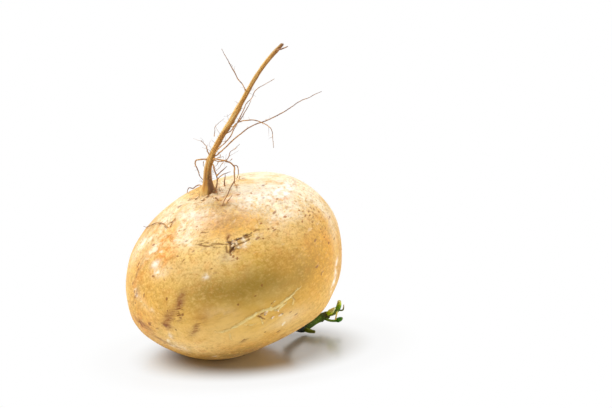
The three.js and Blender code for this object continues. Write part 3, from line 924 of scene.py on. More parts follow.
# Areas of each kind: bearing, height, turn, spreads in degrees, and strength where it isn't 1.
PATCHES = {
    # Pale areas: those high on the top, round bearings 50 to 110 above height 50, are mostly painted
    # highlight, the sheen of the top; the others are pale skin.
    Patch.PALE_AND_SHEEN: (
        (-36, 39, 30, 17, 9), (-31, 28, 30, 9, 6, 0.6), (-24, 49, 0, 9, 4, 0.3), (-76, 24, 80, 16, 8, 1.2),
        (-57, 17, 60, 9, 5, 0.8), (-40, 9, 20, 8, 4, 0.4), (-61, 36, 50, 18, 8, 0.7),
        (-62, 50, 0, 14, 6, 0.7), (-85, 48, 30, 24, 10, 0.8), (82, 70, 0, 27, 16, 1.6),
        (50, 84, 0, 34, 12, 1.3), (110, 80, 0, 34, 16, 1.3), (68, 54, 0, 18, 9, 1.2),
        (50, 56, 0, 17, 7, 0.7), (56, 42, 12, 22, 8, 0.7), (76, 34, 80, 16, 5, 0.7),
        (100, 50, 40, 26, 14, 0.9), (150, 50, 0, 34, 18, 0.8), (-150, -20, 20, 26, 12, 0.6),
        (100, 20, 80, 20, 10, 0.6), (-120, 40, 0, 24, 12, 0.7), (60, 78, 0, 26, 8, 1.2),
        (-72, 20, 80, 12, 6, 0.6), (-16, 13, 10, 18, 6, 0.15), (-1, 20, 5, 6, 3, 0.3),
        (-4, -8, 0, 6, 3, 0.4), (34, -16, 12, 10, 5, 0.4), (-31, -35, 0, 10, 5, 0.7),
        (-53, -10, -30, 8, 3, 0.5),
    ),
    Patch.CREAM: (
        (-39, -30, 60, 8, 1.8, 0.8), (-21, -31, 85, 6, 1.6, 0.6), (-30, 30, 20, 12, 7, 0.4),
        (31, -19, 85, 3.5, 1.1, 1.3), (20, -16, 70, 4, 1.2, 0.8), (58, 60, 0, 20, 8, 0.4),
        (70, -4, 60, 4, 1.2, 1.5), (160, 10, 30, 16, 5, 0.8), (-170, 40, 10, 14, 6, 0.7),
        (120, -15, 60, 12, 4, 0.8), (-110, -10, 70, 12, 4, 0.8), (44, 44, 10, 14, 5, 0.3),
        (-53, -10, -30, 10, 1.6, 0.7), (-56, 18, 60, 7, 3, 0.8),
    ),
    Patch.ORANGE: (
        (-48, 25, 60, 9, 6, 1.3), (-41, 18, 60, 9, 6, 1.2), (-60, 6, 80, 16, 6, 0.7),
        (-54, 33, 60, 6, 4, 0.6), (-80, 18, 80, 8, 4, 0.3), (45, 52.5, 0, 3, 1.6, 1.2),
        (51, 51, 0, 2, 1.2, 1.2), (57, 50, 0, 3, 1.4), (61, 54, 0, 2, 1.2, 1.2), (66, 20, 60, 18, 8, 0.3),
        (-58, -22, 20, 12, 6, 0.8), (-20, 46, 0, 12, 6, 0.5), (0, 64, 0, 9, 6, 0.8),
        (-60, 46, 0, 14, 6, 0.4), (140, 20, 20, 18, 9, 0.8), (-140, 5, 60, 20, 8, 0.7),
        (175, -30, 0, 24, 8, 0.6), (30, -40, 0, 30, 7, 0.5), (-100, 20, 70, 14, 7, 0.7),
    ),
    # White areas: the two on the top right, at 66, 56 and 62, 66, and the two on the right edge, at 73, 3 and
    # 71, -6, are partly painted highlight; the others are chalky specks.
    Patch.WHITE: (
        (-43, 7.5, 10, 4, 2.2, 0.9), (-47, 11.5, 20, 4, 2, 0.8), (-44, -12, 0, 1.8, 1, 0.5),
        (-12, 10, 20, 2, 1.4, 0.7), (73, 3, 80, 4, 2.2, 1.4), (71, -6, 60, 4, 1.8, 1.4),
        (66, 56, 10, 10, 5, 1.4), (10, 27, 40, 2.2, 1.3, 1.4), (150, 30, 30, 6, 3, 0.8),
        (-160, 12, 0, 5, 3, 0.8), (-120, 28, 50, 5, 2, 0.8), (110, 5, 70, 5, 2, 0.7),
        (-59, -8, 0, 2, 1, 0.9), (-35, -25, 80, 2.4, 1.2, 0.5), (-73, 17, 60, 3, 1.6, 0.8),
        (37, 40, 0, 6, 1.6, 0.6), (62, 66, 0, 30, 9, 0.5), (36, 57, 0, 12, 4, 0.8),
        (-42, 46, 0, 12, 3, 0.6), (8.5, 30, 0, 1.2, 1, 0.9), (17.5, 31, 20, 2.4, 1.4, 0.7),
        (0.5, 19, 0, 3, 1.6, 0.25), (1.9, 27.6, 0, 0.8, 0.8, 0.9),
    ),
    Patch.DASHES: (
        (60, 35, 0, 9, 4, 1.1), (66, 22, 80, 8, 4, 0.7), (40, 40, 0, 6, 3, 0.7), (-58, 40, 70, 6, 3, 0.9),
        (2, 66, 0, 8, 5, 0.9), (5, 22, 30, 5, 3, 0.6), (170, 25, 10, 10, 5, 0.9),
        (-140, -15, 60, 9, 4, 0.8), (130, -30, 0, 10, 4, 0.8), (-62, -4, 80, 12, 2.4, 0.9),
        (-9, 15, 0, 2.4, 1.6, 1.2), (50, 51, 0, 8, 3, 0.8),
    ),
    Patch.SCUFF: (
        (-25, -4, 78, 6, 2.2, 1.1), (-26, -11, 70, 4, 1.8, 0.9), (-32, -13, 50, 7, 2.6, 0.9),
        (-17, -17, 55, 7, 1.8, 0.9), (-57, -23, -15, 8, 1.6), (-35, -19, 0, 3.4, 1.6, 1.2),
        (-44, -32, -30, 8, 1.2, 0.9), (-62, 4, 80, 5, 1.1), (-60, -8, 60, 5, 1.1, 0.9),
        (8, -27, 40, 3, 1, 0.8), (-0.3, 32, 88, 2.4, 1.3, 1.1), (-7, 40, 10, 10, 5, 0.2),
        (145, -5, 70, 12, 3, 0.8), (-165, -25, 20, 14, 3, 0.8), (100, 30, 60, 8, 2, 0.7),
        (60, -45, 10, 14, 3, 0.5), (-125, 0, 80, 9, 2.4, 0.8),
    ),
    Patch.SOIL: (
        (-54, 67, 0, 7, 5, 0.7), (-40, 69, 0, 4, 2, 0.9), (-9, 56, 0, 3, 1.6), (113, -50, 0, 16, 13),
        (-57, 37, 60, 4, 2, 0.8), (-20, 62, 30, 8, 3, 0.4), (0, -85, 0, 40, 30, 0.4),
        (-3, 42, 0, 9, 8, 0.5), (-2, 53, 0, 18, 7, 0.25), (-14, 26, 0, 7, 3, 0.5), (-29, 13, 0, 9, 6, 0.2),
        (-2, 22, 70, 3.5, 2.4, 0.4),
    ),
    # Light areas: those low on the front, below the long crack, are partly painted bounce light on the lower
    # ridge; the others are a lighter straw tone.
    Patch.LIGHT: (
        (-22, -25, 0, 22, 8, 0.7), (0, -15, 10, 14, 5, 0.5), (-22, -36, 0, 22, 7, 0.9),
        (-36, 6, 20, 18, 12, 0.3), (-10, 26, 10, 24, 7, 0.6), (26, 2, 10, 8, 4, 0.3),
        (-12, 16, 10, 17, 6, 0.35), (10, 30, 10, 22, 6, 0.4), (8, -24, 10, 22, 5, 0.5),
        (40, -22, 20, 24, 8, 0.4), (-170, 10, 0, 30, 12, 0.5), (120, 0, 30, 20, 12, 0.4),
    ),
    # Olive areas: the first three, across the middle of the front, are painted shade; the others are olive
    # tone.
    Patch.OLIVE_AND_SHADE: (
        (20, 6, 10, 26, 10, 1.05), (-14, 3, 10, 20, 8, 0.68), (48, 9, 40, 16, 10, 0.35),
        (-12, 57, 0, 26, 9, 1.1), (170, 0, 5, 40, 12, 0.5), (-150, 22, -10, 30, 10, 0.5),
        (10, -44, 0, 28, 11, 1.15),
    ),
    Patch.GOLDEN: (
        (54, 13, 60, 20, 12, 0.9), (-2, 47, 0, 20, 9, 0.9), (-6, 58, 0, 20, 8, 0.7),
        (-54, -18, 30, 14, 8, 0.8), (14, -29, 0, 24, 6, 0.3), (-5, 35, 0, 14, 6, 0.9),
        (-40, 4, 60, 14, 8, 0.4), (20, 41, 8, 18, 6, 0.4), (160, 20, 10, 30, 14, 0.7),
        (-120, -12, 30, 24, 12, 0.6), (40, 15, 10, 18, 10, 0.5), (62, 18, 60, 14, 8, 0.5),
        (4, 52, 0, 20, 8, 0.8), (4, -36, 0, 22, 6, 0.6),
    ),
    Patch.SMOOTH: (
        (14, -4, 10, 40, 16), (8, -22, 0, 40, 14, 0.8), (-150, 0, 0, 30, 18, 0.6), (17, 10, 10, 26, 7, 0.5),
        (68, 76, 0, 24, 7, 0.8),
    ),
    Patch.SPOT: (
        (29, 64, 80, 1.5, 0.8), (10, 65.5, 0, 2.4, 0.8), (16, 80, 0, 2.2, 1.4), (40.5, 39, 0, 1.4, 0.9),
        (54.5, 40, 0, 1.1, 0.7), (56.5, 38.5, 0, 0.8, 0.7), (61, 37, 0, 1.2, 0.6), (70, 34.5, 0, 1, 0.7),
        (50, 33.5, 0, 1.2, 0.6), (57.5, 31.5, 0, 1.4, 0.5), (22, 38, 0, 1, 0.7), (25.5, 34, 0, 0.8, 0.7),
        (28.5, 34, 0, 0.9, 0.7), (20.5, 29, 0, 0.8, 0.6), (12, 29.5, 0, 0.9, 0.8), (61, 22, 0, 1, 0.5),
        (63.5, 18.5, 0, 0.9, 0.8), (61, 26.5, 0, 0.8, 0.6), (64, 36, -40, 1.3, 0.5),
        (67.5, 37, 30, 1.4, 0.6), (52.5, 35.5, 0, 1.6, 0.4), (66, 38.5, 60, 1.2, 0.5),
        (56, 36, 20, 1.3, 0.5), (-66.5, 43, 0, 1.2, 0.7), (-55, 40, 60, 1.4, 0.8),
        (-40.5, 33.5, 0, 0.9, 0.6), (-26, 38, 0, 0.9, 0.7), (-25.5, 36, 0, 0.8, 0.6),
        (-32, 18.5, 0, 1, 0.7), (-27, 17, 70, 1.2, 0.6), (-64.5, 7, 80, 2.4, 0.8), (-46, 5, 0, 1.4, 0.8),
        (-65, -3.5, 80, 1.2, 0.9), (-62, -7, 60, 1.2, 0.8), (-58.5, -7.5, 60, 1.2, 0.8),
        (-51, -6, 80, 1.8, 0.7), (-60.5, -12.5, 0, 0.9, 0.7), (-33.5, -4, 80, 1.2, 0.8),
        (-37, 5, 0, 1, 0.6, 0.8), (-33, -10, 0, 0.7, 0.6), (-26, -6, 0, 1.1, 0.8),
        (-24, -10.5, 70, 1.2, 0.7), (-25.5, -12.5, 0, 0.9, 0.7), (-36, -18.5, 0, 2, 1),
        (-29.5, -20, 0, 0.8, 0.6), (-59, -24.5, -50, 2.2, 0.9), (-49, -21, 0, 1.8, 1.2),
        (16.5, 5.5, 80, 1, 0.6), (13, 0.5, 0, 0.8, 0.6), (1, 21.5, 60, 0.9, 0.7), (2.5, 20.5, 40, 1, 0.8),
        (4.5, 19.5, 80, 1.1, 0.7), (4.5, -3.5, 0, 1, 0.6), (21.5, -4.5, 0, 0.7, 0.6),
        (20, -22.5, 0, 0.7, 0.6), (54, 4.5, 80, 1.2, 0.6), (-100, 63.5, 0, 1.4, 0.8),
        (-80, 65, 0, 1.4, 0.8), (-66, 65, 0, 1, 0.7), (-58, 65, 0, 1.2, 0.7), (-51, 64.5, 0, 0.9, 0.7),
        (-46, 65, 0, 1.2, 0.7), (-40, 65.5, 0, 1, 0.7), (-18, 70.5, 20, 1.3, 0.8), (-11, 73, 0, 1.1, 0.8),
        (-10, 65, 40, 1.6, 0.7), (-14, 61, 0, 1.4, 0.7), (12, 76, 0, 1.2, 0.8),
        (-37.5, 69.5, 40, 3, 1.7, 1.4),
    ),
}

# Lines: kind, half width, rise and rise of the lips in millimetres, and points as bearings and heights.
LINES = (
    (Line.CRACK, 0.9, 0.45, 0, (
        (38, 1.5), (35, 0), (32.5, -2.5), (29.5, -4), (27, -5.5), (24, -7), (21, -7.5), (17.5, -8),
        (14, -9), (11.5, -10.5), (8.5, -12), (6, -14), (3.5, -15.5), (-0.5, -17.5), (-3.5, -18.5),
        (-7.5, -19))),
    (Line.CRACK, 0.6, 0.25, 0, ((30, -5.5), (27, -7), (25.5, -8.5), (23, -8.5))),
    (Line.CRACK, 0.5, 0.2, 0, ((6, -14), (10.5, -15.5), (14, -15))),
    (Line.CRACK, 0.5, 0.2, 0, ((14.5, -9), (16.5, -13), (18, -17))),
    (Line.CRACK, 0.5, 0.2, 0, ((20.5, -7.5), (22, -5), (23.5, -3))),
    (Line.CRACK, 0.5, 0.2, 0, ((32.5, -2.5), (34, -5), (34, -7.5))),
    (Line.CRACK, 0.5, 0.2, 0, ((1, -18.5), (0, -21.5), (1, -25))),
    (Line.CRACK, 0.32, 0.15, 0, ((-62, -10), (-52, -10), (-44, -13))),
    (Line.CRACK, 0.5, 0.25, 0, ((88, 8), (84, 14), (80, 22), (78, 30))),
    (Line.CRACK, 0.7, 0.4, 0, ((130, 20), (142, 16), (150, 8), (162, 5), (172, 6), (184, 2))),
    (Line.CRACK, 0.5, 0.3, 0, ((-128, -20), (-138, -24), (-150, -22), (-162, -28))),
    (Line.SCAR, 0.7, -0.4, 0.3, ((-0.5, 28.5), (1.5, 27), (2.5, 25.5), (1.5, 24), (0.5, 22.5))),
    (Line.SCAR, 0.5, -0.35, 0.2, ((-0.5, 29), (3, 28.5), (5, 29.5), (7.5, 30))),
    (Line.SCAR, 0.45, -0.3, 0.2, ((8.5, 31.5), (12, 32), (14, 33))),
    (Line.STRAND, 0.55, -0.3, 0.2, ((15.5, 33.5), (18, 34.5), (20.5, 34.5))),
    (Line.STRAND, 0.7, -0.3, 0.1, ((-0.5, 29.5), (-1, 30.5), (-0.5, 31.5))),
    (Line.STRAND, 0.5, -0.3, 0.15, ((-0.5, 27), (-4.5, 27.5), (-8, 27.5), (-11, 27.5))),
    (Line.STRAND, 0.5, -0.3, 0.15, ((-5.5, 25.5), (-8, 25.5), (-10.5, 26), (-14, 26), (-19, 26.5))),
    (Line.STRAND, 0.5, -0.25, 0.15, ((-22, 26), (-18.5, 27), (-16, 28), (-13.5, 28))),
    (Line.STRAND, 0.45, -0.2, 0.1, ((-21, 28.5), (-18.5, 29), (-15, 29))),
    (Line.STRAND, 0.45, -0.2, 0.1, ((-21, 33.5), (-18, 34.5), (-15, 34.5))),
    (Line.STRAND, 0.7, -0.25, 0.2, ((4.5, 26.5), (7, 27.5), (9.5, 28.5), (12.5, 29.5))),
    (Line.STRAND, 0.6, -0.25, 0.2, ((7.5, 30), (10.5, 30.5), (14, 31.5))),
    (Line.STRAND, 0.7, -0.3, 0.2, ((-1.5, 26), (-1.5, 24), (-0.5, 22))),
    (Line.STRAND, 0.3, -0.2, 0.1, ((-35, -25), (-37, -28), (-41, -34))),
    (Line.SCAR, 0.5, -0.5, 0.3, ((-150, 45), (-146, 41), (-140, 40), (-136, 36))),
    (Line.DASH, 0.75, -0.35, 0.1, ((14, -10.5), (16, -11.5), (18.5, -13))),
    (Line.DASH, 0.3, -0.2, 0.1, ((6, -28), (7.5, -26.5), (9, -25))),
    (Line.DASH, 0.26, -0.2, 0.1, ((21, -8.5), (22, -9))),
    (Line.DASH, 0.5, -0.2, 0.05, ((33.5, -3), (35.5, -5.5))),
    (Line.DASH, 0.35, -0.15, 0.05, ((150, -18), (158, -17), (164, -20))),
    (Line.DASH, 0.3, -0.2, 0.1, ((-100, -5), (-103, -10))),
)


@dataclass
class SwollenRoot:
    """The swollen root: a flattened ball with broad swellings, pressed flat where it rests."""

    equator_radius: float = 63.6
    pole_radius: float = 46.7
    lean_left: float = 23.6
    lean_front: float = 6.0
    centre_height: float = 49.4
    flattened_below: float = 5.0
    skin_steps: int = 127
    tail_base: tuple = (-53.0, 70.0)
    tail_collar: float = 5.4
    crown: tuple = (113.0, -50.0)
    pits: int = 110
    pit_seed: int = 5
    strongest_field: float = 1.4
    far_gap: float = 9.0
    line_reach: float = 12.0
    finish: SkinFinish = SkinFinish()

    def __post_init__(self) -> None:
        """Works out the root axis."""
        left, front = math.radians(self.lean_left), math.radians(self.lean_front)
        upright = math.cos(left)
        self.axis = np.array([-math.sin(left), -upright * math.sin(front), upright * math.cos(front)])
        self.middle = np.array([0.0, 0.0, self.centre_height])

    def reach(self, out: np.ndarray) -> np.ndarray:
        """Distance from the middle to the plain skin.

        It is 1 / sqrt((across / equator)^2 + (along / pole)^2), with along and across the direction's
        shares of the root axis, plus every swelling's bell.

        Args:
            out: unit vectors from the middle.

        Returns:
            Distances in millimetres.
        """
        along = out @ self.axis
        across = np.sqrt(np.maximum(0, 1 - along**2))
        return 1 / np.hypot(across / self.equator_radius, along / self.pole_radius) + bells(out, SWELLINGS)

    def at(self, out: np.ndarray, lift: np.ndarray | float = 0.0) -> np.ndarray:
        """Places in these directions, lifted off the plain skin by some millimetres."""
        return self.middle + out * (self.reach(out) + lift)[..., None]

    def on_skin(self, bearing: np.ndarray, height: np.ndarray, lift: np.ndarray | float = 0.0) -> np.ndarray:
        """Places at bearings and heights, lifted off the plain skin by some millimetres."""
        return self.at(direction(bearing, height), lift)

    def directions(self) -> tuple[np.ndarray, list]:
        """Directions of an even grid over the body and the faces between them.

        Each side of a cube has a grid whose lines are tan(pi / 4 * t) for even t from -1 to 1. Points
        that two sides share are merged.

        Returns:
            Unit vectors, and faces of four corners that face out.
        """
        even = np.tan(np.linspace(-1, 1, self.skin_steps + 1) * math.pi / 4)
        across, up = np.meshgrid(even, even)
        ones = np.ones_like(across)
        sides = [
            (ones, across, up), (-ones, -across, up), (-across, ones, up),
            (across, -ones, up), (-up, across, ones), (up, across, -ones),
        ]
        grids = np.stack([np.stack(side, axis=-1) for side in sides])
        keys = np.round(grids.reshape(-1, 3) * 1e6).astype(np.int64)
        _, kept, merged = np.unique(keys, axis=0, return_index=True, return_inverse=True)
        numbers = merged.reshape(grids.shape[:3])
        corners = [numbers[:, :-1, :-1], numbers[:, :-1, 1:], numbers[:, 1:, 1:], numbers[:, 1:, :-1]]
        return unit(grids.reshape(-1, 3)[kept]), np.stack(corners, axis=-1).reshape(-1, 4).tolist()

    def line_fields(self, places: np.ndarray) -> tuple[np.ndarray, dict[str, np.ndarray]]:
        """Relief and fields of the lines on the skin.

        A line's field is the distance to it over its half width, which narrows to its ends. Its relief
        is rise * exp(-gap^2), and its lips add lips * exp(-(gap - 1.9)^2 / 0.5).

        Args:
            places: points of the plain skin.

        Returns:
            The relief in millimetres, and the smallest gap for each kind of line.
        """
        shift = np.stack([lattice_noise(places, 2.6, seed) for seed in (11, 12, 13)], axis=-1)
        ragged = places + 0.45 * shift + 0.25 * np.roll(shift, 1, axis=-1)
        relief = np.zeros(len(places))
        gaps = {kind.value: np.full(len(places), self.far_gap) for kind in Line}
        for kind, width, rise, lips, marks in LINES:
            corners = self.on_skin(*np.array(marks, dtype=float).T)
            away = np.linalg.norm(places - corners.mean(axis=0), axis=1)
            near = away < route_length(corners) / 2 + self.line_reach
            gap, share = gap_to_line(ragged[near], smooth_route(corners, 8 * len(corners)))
            taper = 0.35 + 0.65 * np.sqrt(np.clip(np.sin(math.pi * (0.06 + 0.88 * share)), 0, 1))
            gap = gap / (width * taper)
            relief[near] += rise * hump(gap) + lips * hump((gap - 1.9) / math.sqrt(0.5))
            kept = gaps[kind.value]
            kept[near] = np.minimum(kept[near], gap)
        return relief, gaps

    def lumps(self, places: np.ndarray) -> np.ndarray:
        """Unevenness of the skin.

        It adds soft lumps of noise at 26, 11 and 4.5 mm, faint wrinkles square to the root axis from
        noise squeezed along it, shallow pock marks -depth * exp(-(distance / size)^2) with a ring round
        each, flutes and a torn ring round the tail, and corky rings round the crown.

        Args:
            places: points of the plain skin.

        Returns:
            Relief in millimetres.
        """
        relief = 0.42 * fractal(places, 26, 21, 2) + 0.15 * lattice_noise(places, 11, 23)
        relief += 0.05 * lattice_noise(places, 4.5, 24)
        along = ((places - self.middle) @ self.axis)[:, None] * self.axis
        wrinkles = lattice_noise((places - along) / 20 + along / 2.4, 1.0, 25)
        relief += 0.07 * wrinkles * smooth_step(-0.2, 0.5, lattice_noise(places, 30, 26))
        luck = np.random.default_rng(self.pit_seed)
        spots = unit(luck.normal(size=(self.pits, 3)))
        sizes, depths = luck.uniform(0.9, 2.4, self.pits), luck.uniform(0.05, 0.22, self.pits)
        for spot, size, depth in zip(spots, sizes, depths):
            away = np.linalg.norm(places - self.at(spot), axis=1) / size
            relief -= depth * (hump(away) + 0.3 * hump((away - 1.7) / math.sqrt(0.3)))
        return relief + self.collar_relief(places) + self.crown_relief(places)

    def collar_relief(self, places: np.ndarray) -> np.ndarray:
        """Flutes 0.3 * cos(11 turn) that fade round the tail, and a torn ring 0.4 mm high.

        Args:
            places: points of the plain skin.

        Returns:
            Relief in millimetres.
        """
        away = places - self.on_skin(*self.tail_base)
        rings = np.linalg.norm(away, axis=1)
        ahead = direction(*self.tail_base)
        east = unit(np.cross(ahead, [0.0, 0.0, 1.0]))
        turn = np.arctan2(away @ np.cross(ahead, east), away @ east)
        flutes = 0.30 * np.cos(11 * turn + 2 * lattice_noise(places, 5, 31)) * hump((rings - 6) / 5)
        edge = self.tail_collar + 0.7 * lattice_noise(places, 2.2, 32)
        return flutes + 0.4 * hump((rings - edge) / 0.9)

    def crown_relief(self, places: np.ndarray) -> np.ndarray:
        """Corky rings 0.3 * cos(tau * distance / 3) and rough noise, both fading by 13 mm away."""
        rings = np.linalg.norm(places - self.on_skin(*self.crown), axis=1)
        return hump(rings / 13) * (0.3 * np.cos(TAU * rings / 3.0) + 0.6 * fractal(places, 3.2, 41, 3))

    def build(self) -> None:
        """Makes the dressed body: the relief fades to nothing above the flat resting spot."""
        out, faces = self.directions()
        places = self.at(out)
        relief, fields = self.line_fields(places)
        relief += self.lumps(places)
        points = places + out * (relief * smooth_step(0.0, self.flattened_below, places[:, 2]))[:, None]
        points[:, 2] = np.maximum(points[:, 2], 0.0)
        for kind, areas in PATCHES.items():
            fields[kind.value] = np.clip(bells(out, areas), 0, self.strongest_field)
        make_piece("tuber_skin", (points, faces, fields), self.finish.build(self.axis), "skin", "tuber")


@dataclass
class SkinFlakes:
    """Small curled peelings of dry skin round the tail's collar, the crown and the healed wounds.

    Each area is a bearing, a height and a spread in degrees, and how many peelings it has.
    """

    body: SwollenRoot
    seed: int = 17
    thickness: float = 0.12
    floor_clearance: float = 3.0
    rows: int = 9
    columns: int = 7
    areas: tuple = (
        (-58, 68, 11, 16), (113, -50, 15, 16), (2, 28, 3.5, 5),
        (-60, 36, 4, 5), (24, -10, 5, 4), (160, 20, 50, 10),
    )

    def flake(self, luck: np.random.Generator, bearing: float, height: float, spread: float) -> Shape:
        """One peeling.

        It is a leaf shape on a grid: along it u runs from -1 to 1 and across it v does, its half width
        is width * sqrt(1 - 0.9 u^2), and it lifts off the skin by curl * ((u + 1) / 2)^2.

        Args:
            luck: random numbers.
            bearing: bearing of its area.
            height: height of its area.
            spread: how far it may lie from the area's middle, in degrees.

        Returns:
            Its vertices, faces and fields.
        """
        centre = unit(direction(bearing, height) + luck.normal(size=3) * math.radians(spread) * 0.6)
        along = unit(np.cross(centre, luck.normal(size=3)))
        across = np.cross(centre, along)
        long, wide, curl = luck.uniform(0.9, 2.2), luck.uniform(0.35, 0.9), luck.uniform(0.25, 0.8)
        u, v = np.meshgrid(np.linspace(-1, 1, self.rows), np.linspace(-1, 1, self.columns), indexing="ij")
        half = wide * np.sqrt(1 - 0.9 * u**2) * (1 + 0.15 * luck.normal(size=u.shape))
        level = self.body.reach(centre)
        out = unit(centre + (u[..., None] * long * along + (v * half)[..., None] * across) / level)
        rise = (u + 1) / 2
        places = self.body.at(out, 0.02 + curl * rise**2 + 0.25 * curl * rise * v**2)
        start = np.arange(self.rows - 1)[:, None] * self.columns + np.arange(self.columns - 1)[None, :]
        corners = [start, start + self.columns, start + self.columns + 1, start + 1]
        faces = np.stack(corners, axis=-1).reshape(-1, 4)
        normal = np.cross(places[1, 0] - places[0, 0], places[0, 1] - places[0, 0]) @ centre
        faces = faces if normal > 0 else faces[:, ::-1]
        return places.reshape(-1, 3), faces.tolist(), {"lift": rise.ravel()}

    def build(self) -> None:
        """Makes them as one piece with a thin wall."""
        luck = np.random.default_rng(self.seed)
        flakes = [self.flake(luck, *place) for *place, count in self.areas for _ in range(count)]
        clear = joined([flake for flake in flakes if flake[0][:, 2].min() > self.floor_clearance])
        piece = make_piece("skin_flakes", clear, PeelFinish().build(), "skin")
        wall = piece.modifiers.new("wall", "SOLIDIFY")
        wall.thickness = self.thickness * MM
        wall.offset = 0.0


# ---- The tail and the thin roots ---------------------------------------------------------------------


@dataclass
class TailRoot:
    """The unswollen tap root that stands up as a tail: fluted collar, ribbed bark, knots and a split end.

    A knot is a swelling of the bark where a side root leaves: its place, size and rise in millimetres.
    """

    collar_radius: float = 5.2
    collar_share: float = 0.10
    radius: float = 2.6
    tip_radius: float = 1.15
    taper: float = 0.55
    sides: int = 48
    step: float = 0.32
    frayed_from: float = 0.965
    # the way of the tail's shaded side: the bark is painted browner facing it, as painted shade, and paler
    # facing away, as painted highlight
    painted_shade_way: tuple = (0.75, -0.25, -0.6)
    groove_way: tuple = (0.62, -0.78, 0.0)
    groove_levels: tuple = (89, 93, 102, 109)
    skin_levels: tuple = (97.0, 91.0)
    route: tuple = (
        (-13.4, -9.5, 90), (-13.3, -11, 98), (-13.4, -12, 103), (-13, -12.5, 109), (-10.6, -12.5, 116.5),
        (-5.6, -12, 126), (-0.2, -11, 134.5), (4.9, -10, 143.5), (9.1, -9, 151), (12.9, -7.5, 157.5),
        (17.3, -6, 164), (21.7, -4.5, 169.5), (25.4, -3, 173.3), (28.2, -2, 176.3),
    )
    knots: tuple = (
        ((-9.8, -14.4, 113.5), 2.6, 0.7), ((-13.8, -13.4, 113.8), 1.6, 0.5), ((-6, -13.2, 123), 1.4, 0.3),
        ((-1, -12.6, 130.5), 1.3, 0.35), ((4.5, -9, 141), 2.2, 0.45), ((1.5, -12, 139), 1.8, 0.3),
        ((7.6, -10.6, 151), 1.2, 0.3), ((13.6, -7.8, 159), 1.3, 0.2), ((-14.6, -10.5, 106), 1.6, 0.4),
        ((-3.5, -9.6, 132.5), 1.5, 0.25), ((20, -6.3, 168), 1.1, 0.2),
    )

    def plain_radius(self, share: np.ndarray) -> np.ndarray:
        """Radius at shares of the length: a collar that dies away as a bell curve, then a slow taper."""
        collar = (self.collar_radius - self.radius) * hump(share / self.collar_share)
        return collar + self.radius + (self.tip_radius - self.radius) * share**self.taper

    def groove(self, rod: Rod, places: np.ndarray) -> np.ndarray:
        """A hollow up the front of the lower tail, which the bark finish darkens as painted shade.

        Args:
            rod: the tail's rod.
            places: places on its plain surface.

        Returns:
            1 where the bark faces the groove's way between its levels, and 0 elsewhere, with ragged edges.
        """
        facing = rod.outward @ unit(np.array(self.groove_way)) + 0.10 * lattice_noise(places, 2.0, 51)
        low, from_level, to_level, high = self.groove_levels
        level = smooth_step(low, from_level, places[..., 2]) * smooth_step(high, to_level, places[..., 2])
        return smooth_step(0.72, 0.94, facing) * level

    def build(self) -> None:
        """Makes the tail.

        Its radius is the plain one, times 1 + 0.055 cos(6 a) at the collar for flutes, plus bark ridges
        from noise squeezed along the length, ring cracks from noise squeezed round it, and the knots'
        bells. The last rings are pushed along the tail by noise of the angle, which splits the end.
        """
        rod = Rod(self.route, self.sides, self.step)
        plain = self.plain_radius(rod.share)
        places = rod.centres[:, None] + plain[..., None] * rod.outward
        straight = rod.straight(self.radius)
        collar = hump(rod.share / self.collar_share)
        wander = lattice_noise(straight, 9.0, 52)
        flutes = 0.055 * np.cos(6 * rod.angle + wander) + 0.02 * np.cos(13 * rod.angle)
        radius = plain * (1 + collar * flutes)
        radius += (0.20 + 0.2 * collar) * fractal(straight * [1, 1, 0.16], 1.5, 53, 2)
        radius += 0.05 * lattice_noise(straight * [0.5, 0.5, 1], 1.6, 54)
        radius += 0.14 * lattice_noise(straight * [0.4, 0.4, 1], 5.0, 55) - 0.10
        for place, size, rise in self.knots:
            radius += rise * hump(np.linalg.norm(places - place, axis=-1) / size)
        scaly = np.maximum(0, lattice_noise(places, 1.6, 56)) * hump((rod.share - 0.5) / 0.10)
        groove = self.groove(rod, places)
        radius += 0.35 * scaly - 0.30 * groove
        frayed = smooth_step(self.frayed_from, 1.0, rod.share)
        radius *= 1 - 0.30 * frayed * (0.5 + 0.5 * lattice_noise(straight * [1, 1, 0.1], 1.1, 57))
        splits = 1.5 * frayed * lattice_noise(rod.outward * 1.4 + [3.1, 0.4, 0.7], 0.8, 58)
        skin = smooth_step(*self.skin_levels, places[..., 2] + 1.5 * lattice_noise(places, 3.0, 59))
        fields = {
            "straight": straight * MM,
            "groove": groove * (1 - 0.5 * skin),
            "ageing": 0.55 * smooth_step(0.90, 1.0, rod.share + 0.03 * wander) + 0.12 * rod.share,
            "skin": skin,
            # painted light and shade: 0 on the lit side of the tail, 1 on the shaded side
            "side": 0.5 + 0.5 * (rod.outward @ unit(np.array(self.painted_shade_way))),
        }
        shape = rod.shape(radius, fields, splits[..., None] * rod.ahead[:, None], 0.1)
        make_piece("tail_bark_sleeve", shape, BarkFinish().build(), "tail_bark", "tail_root")


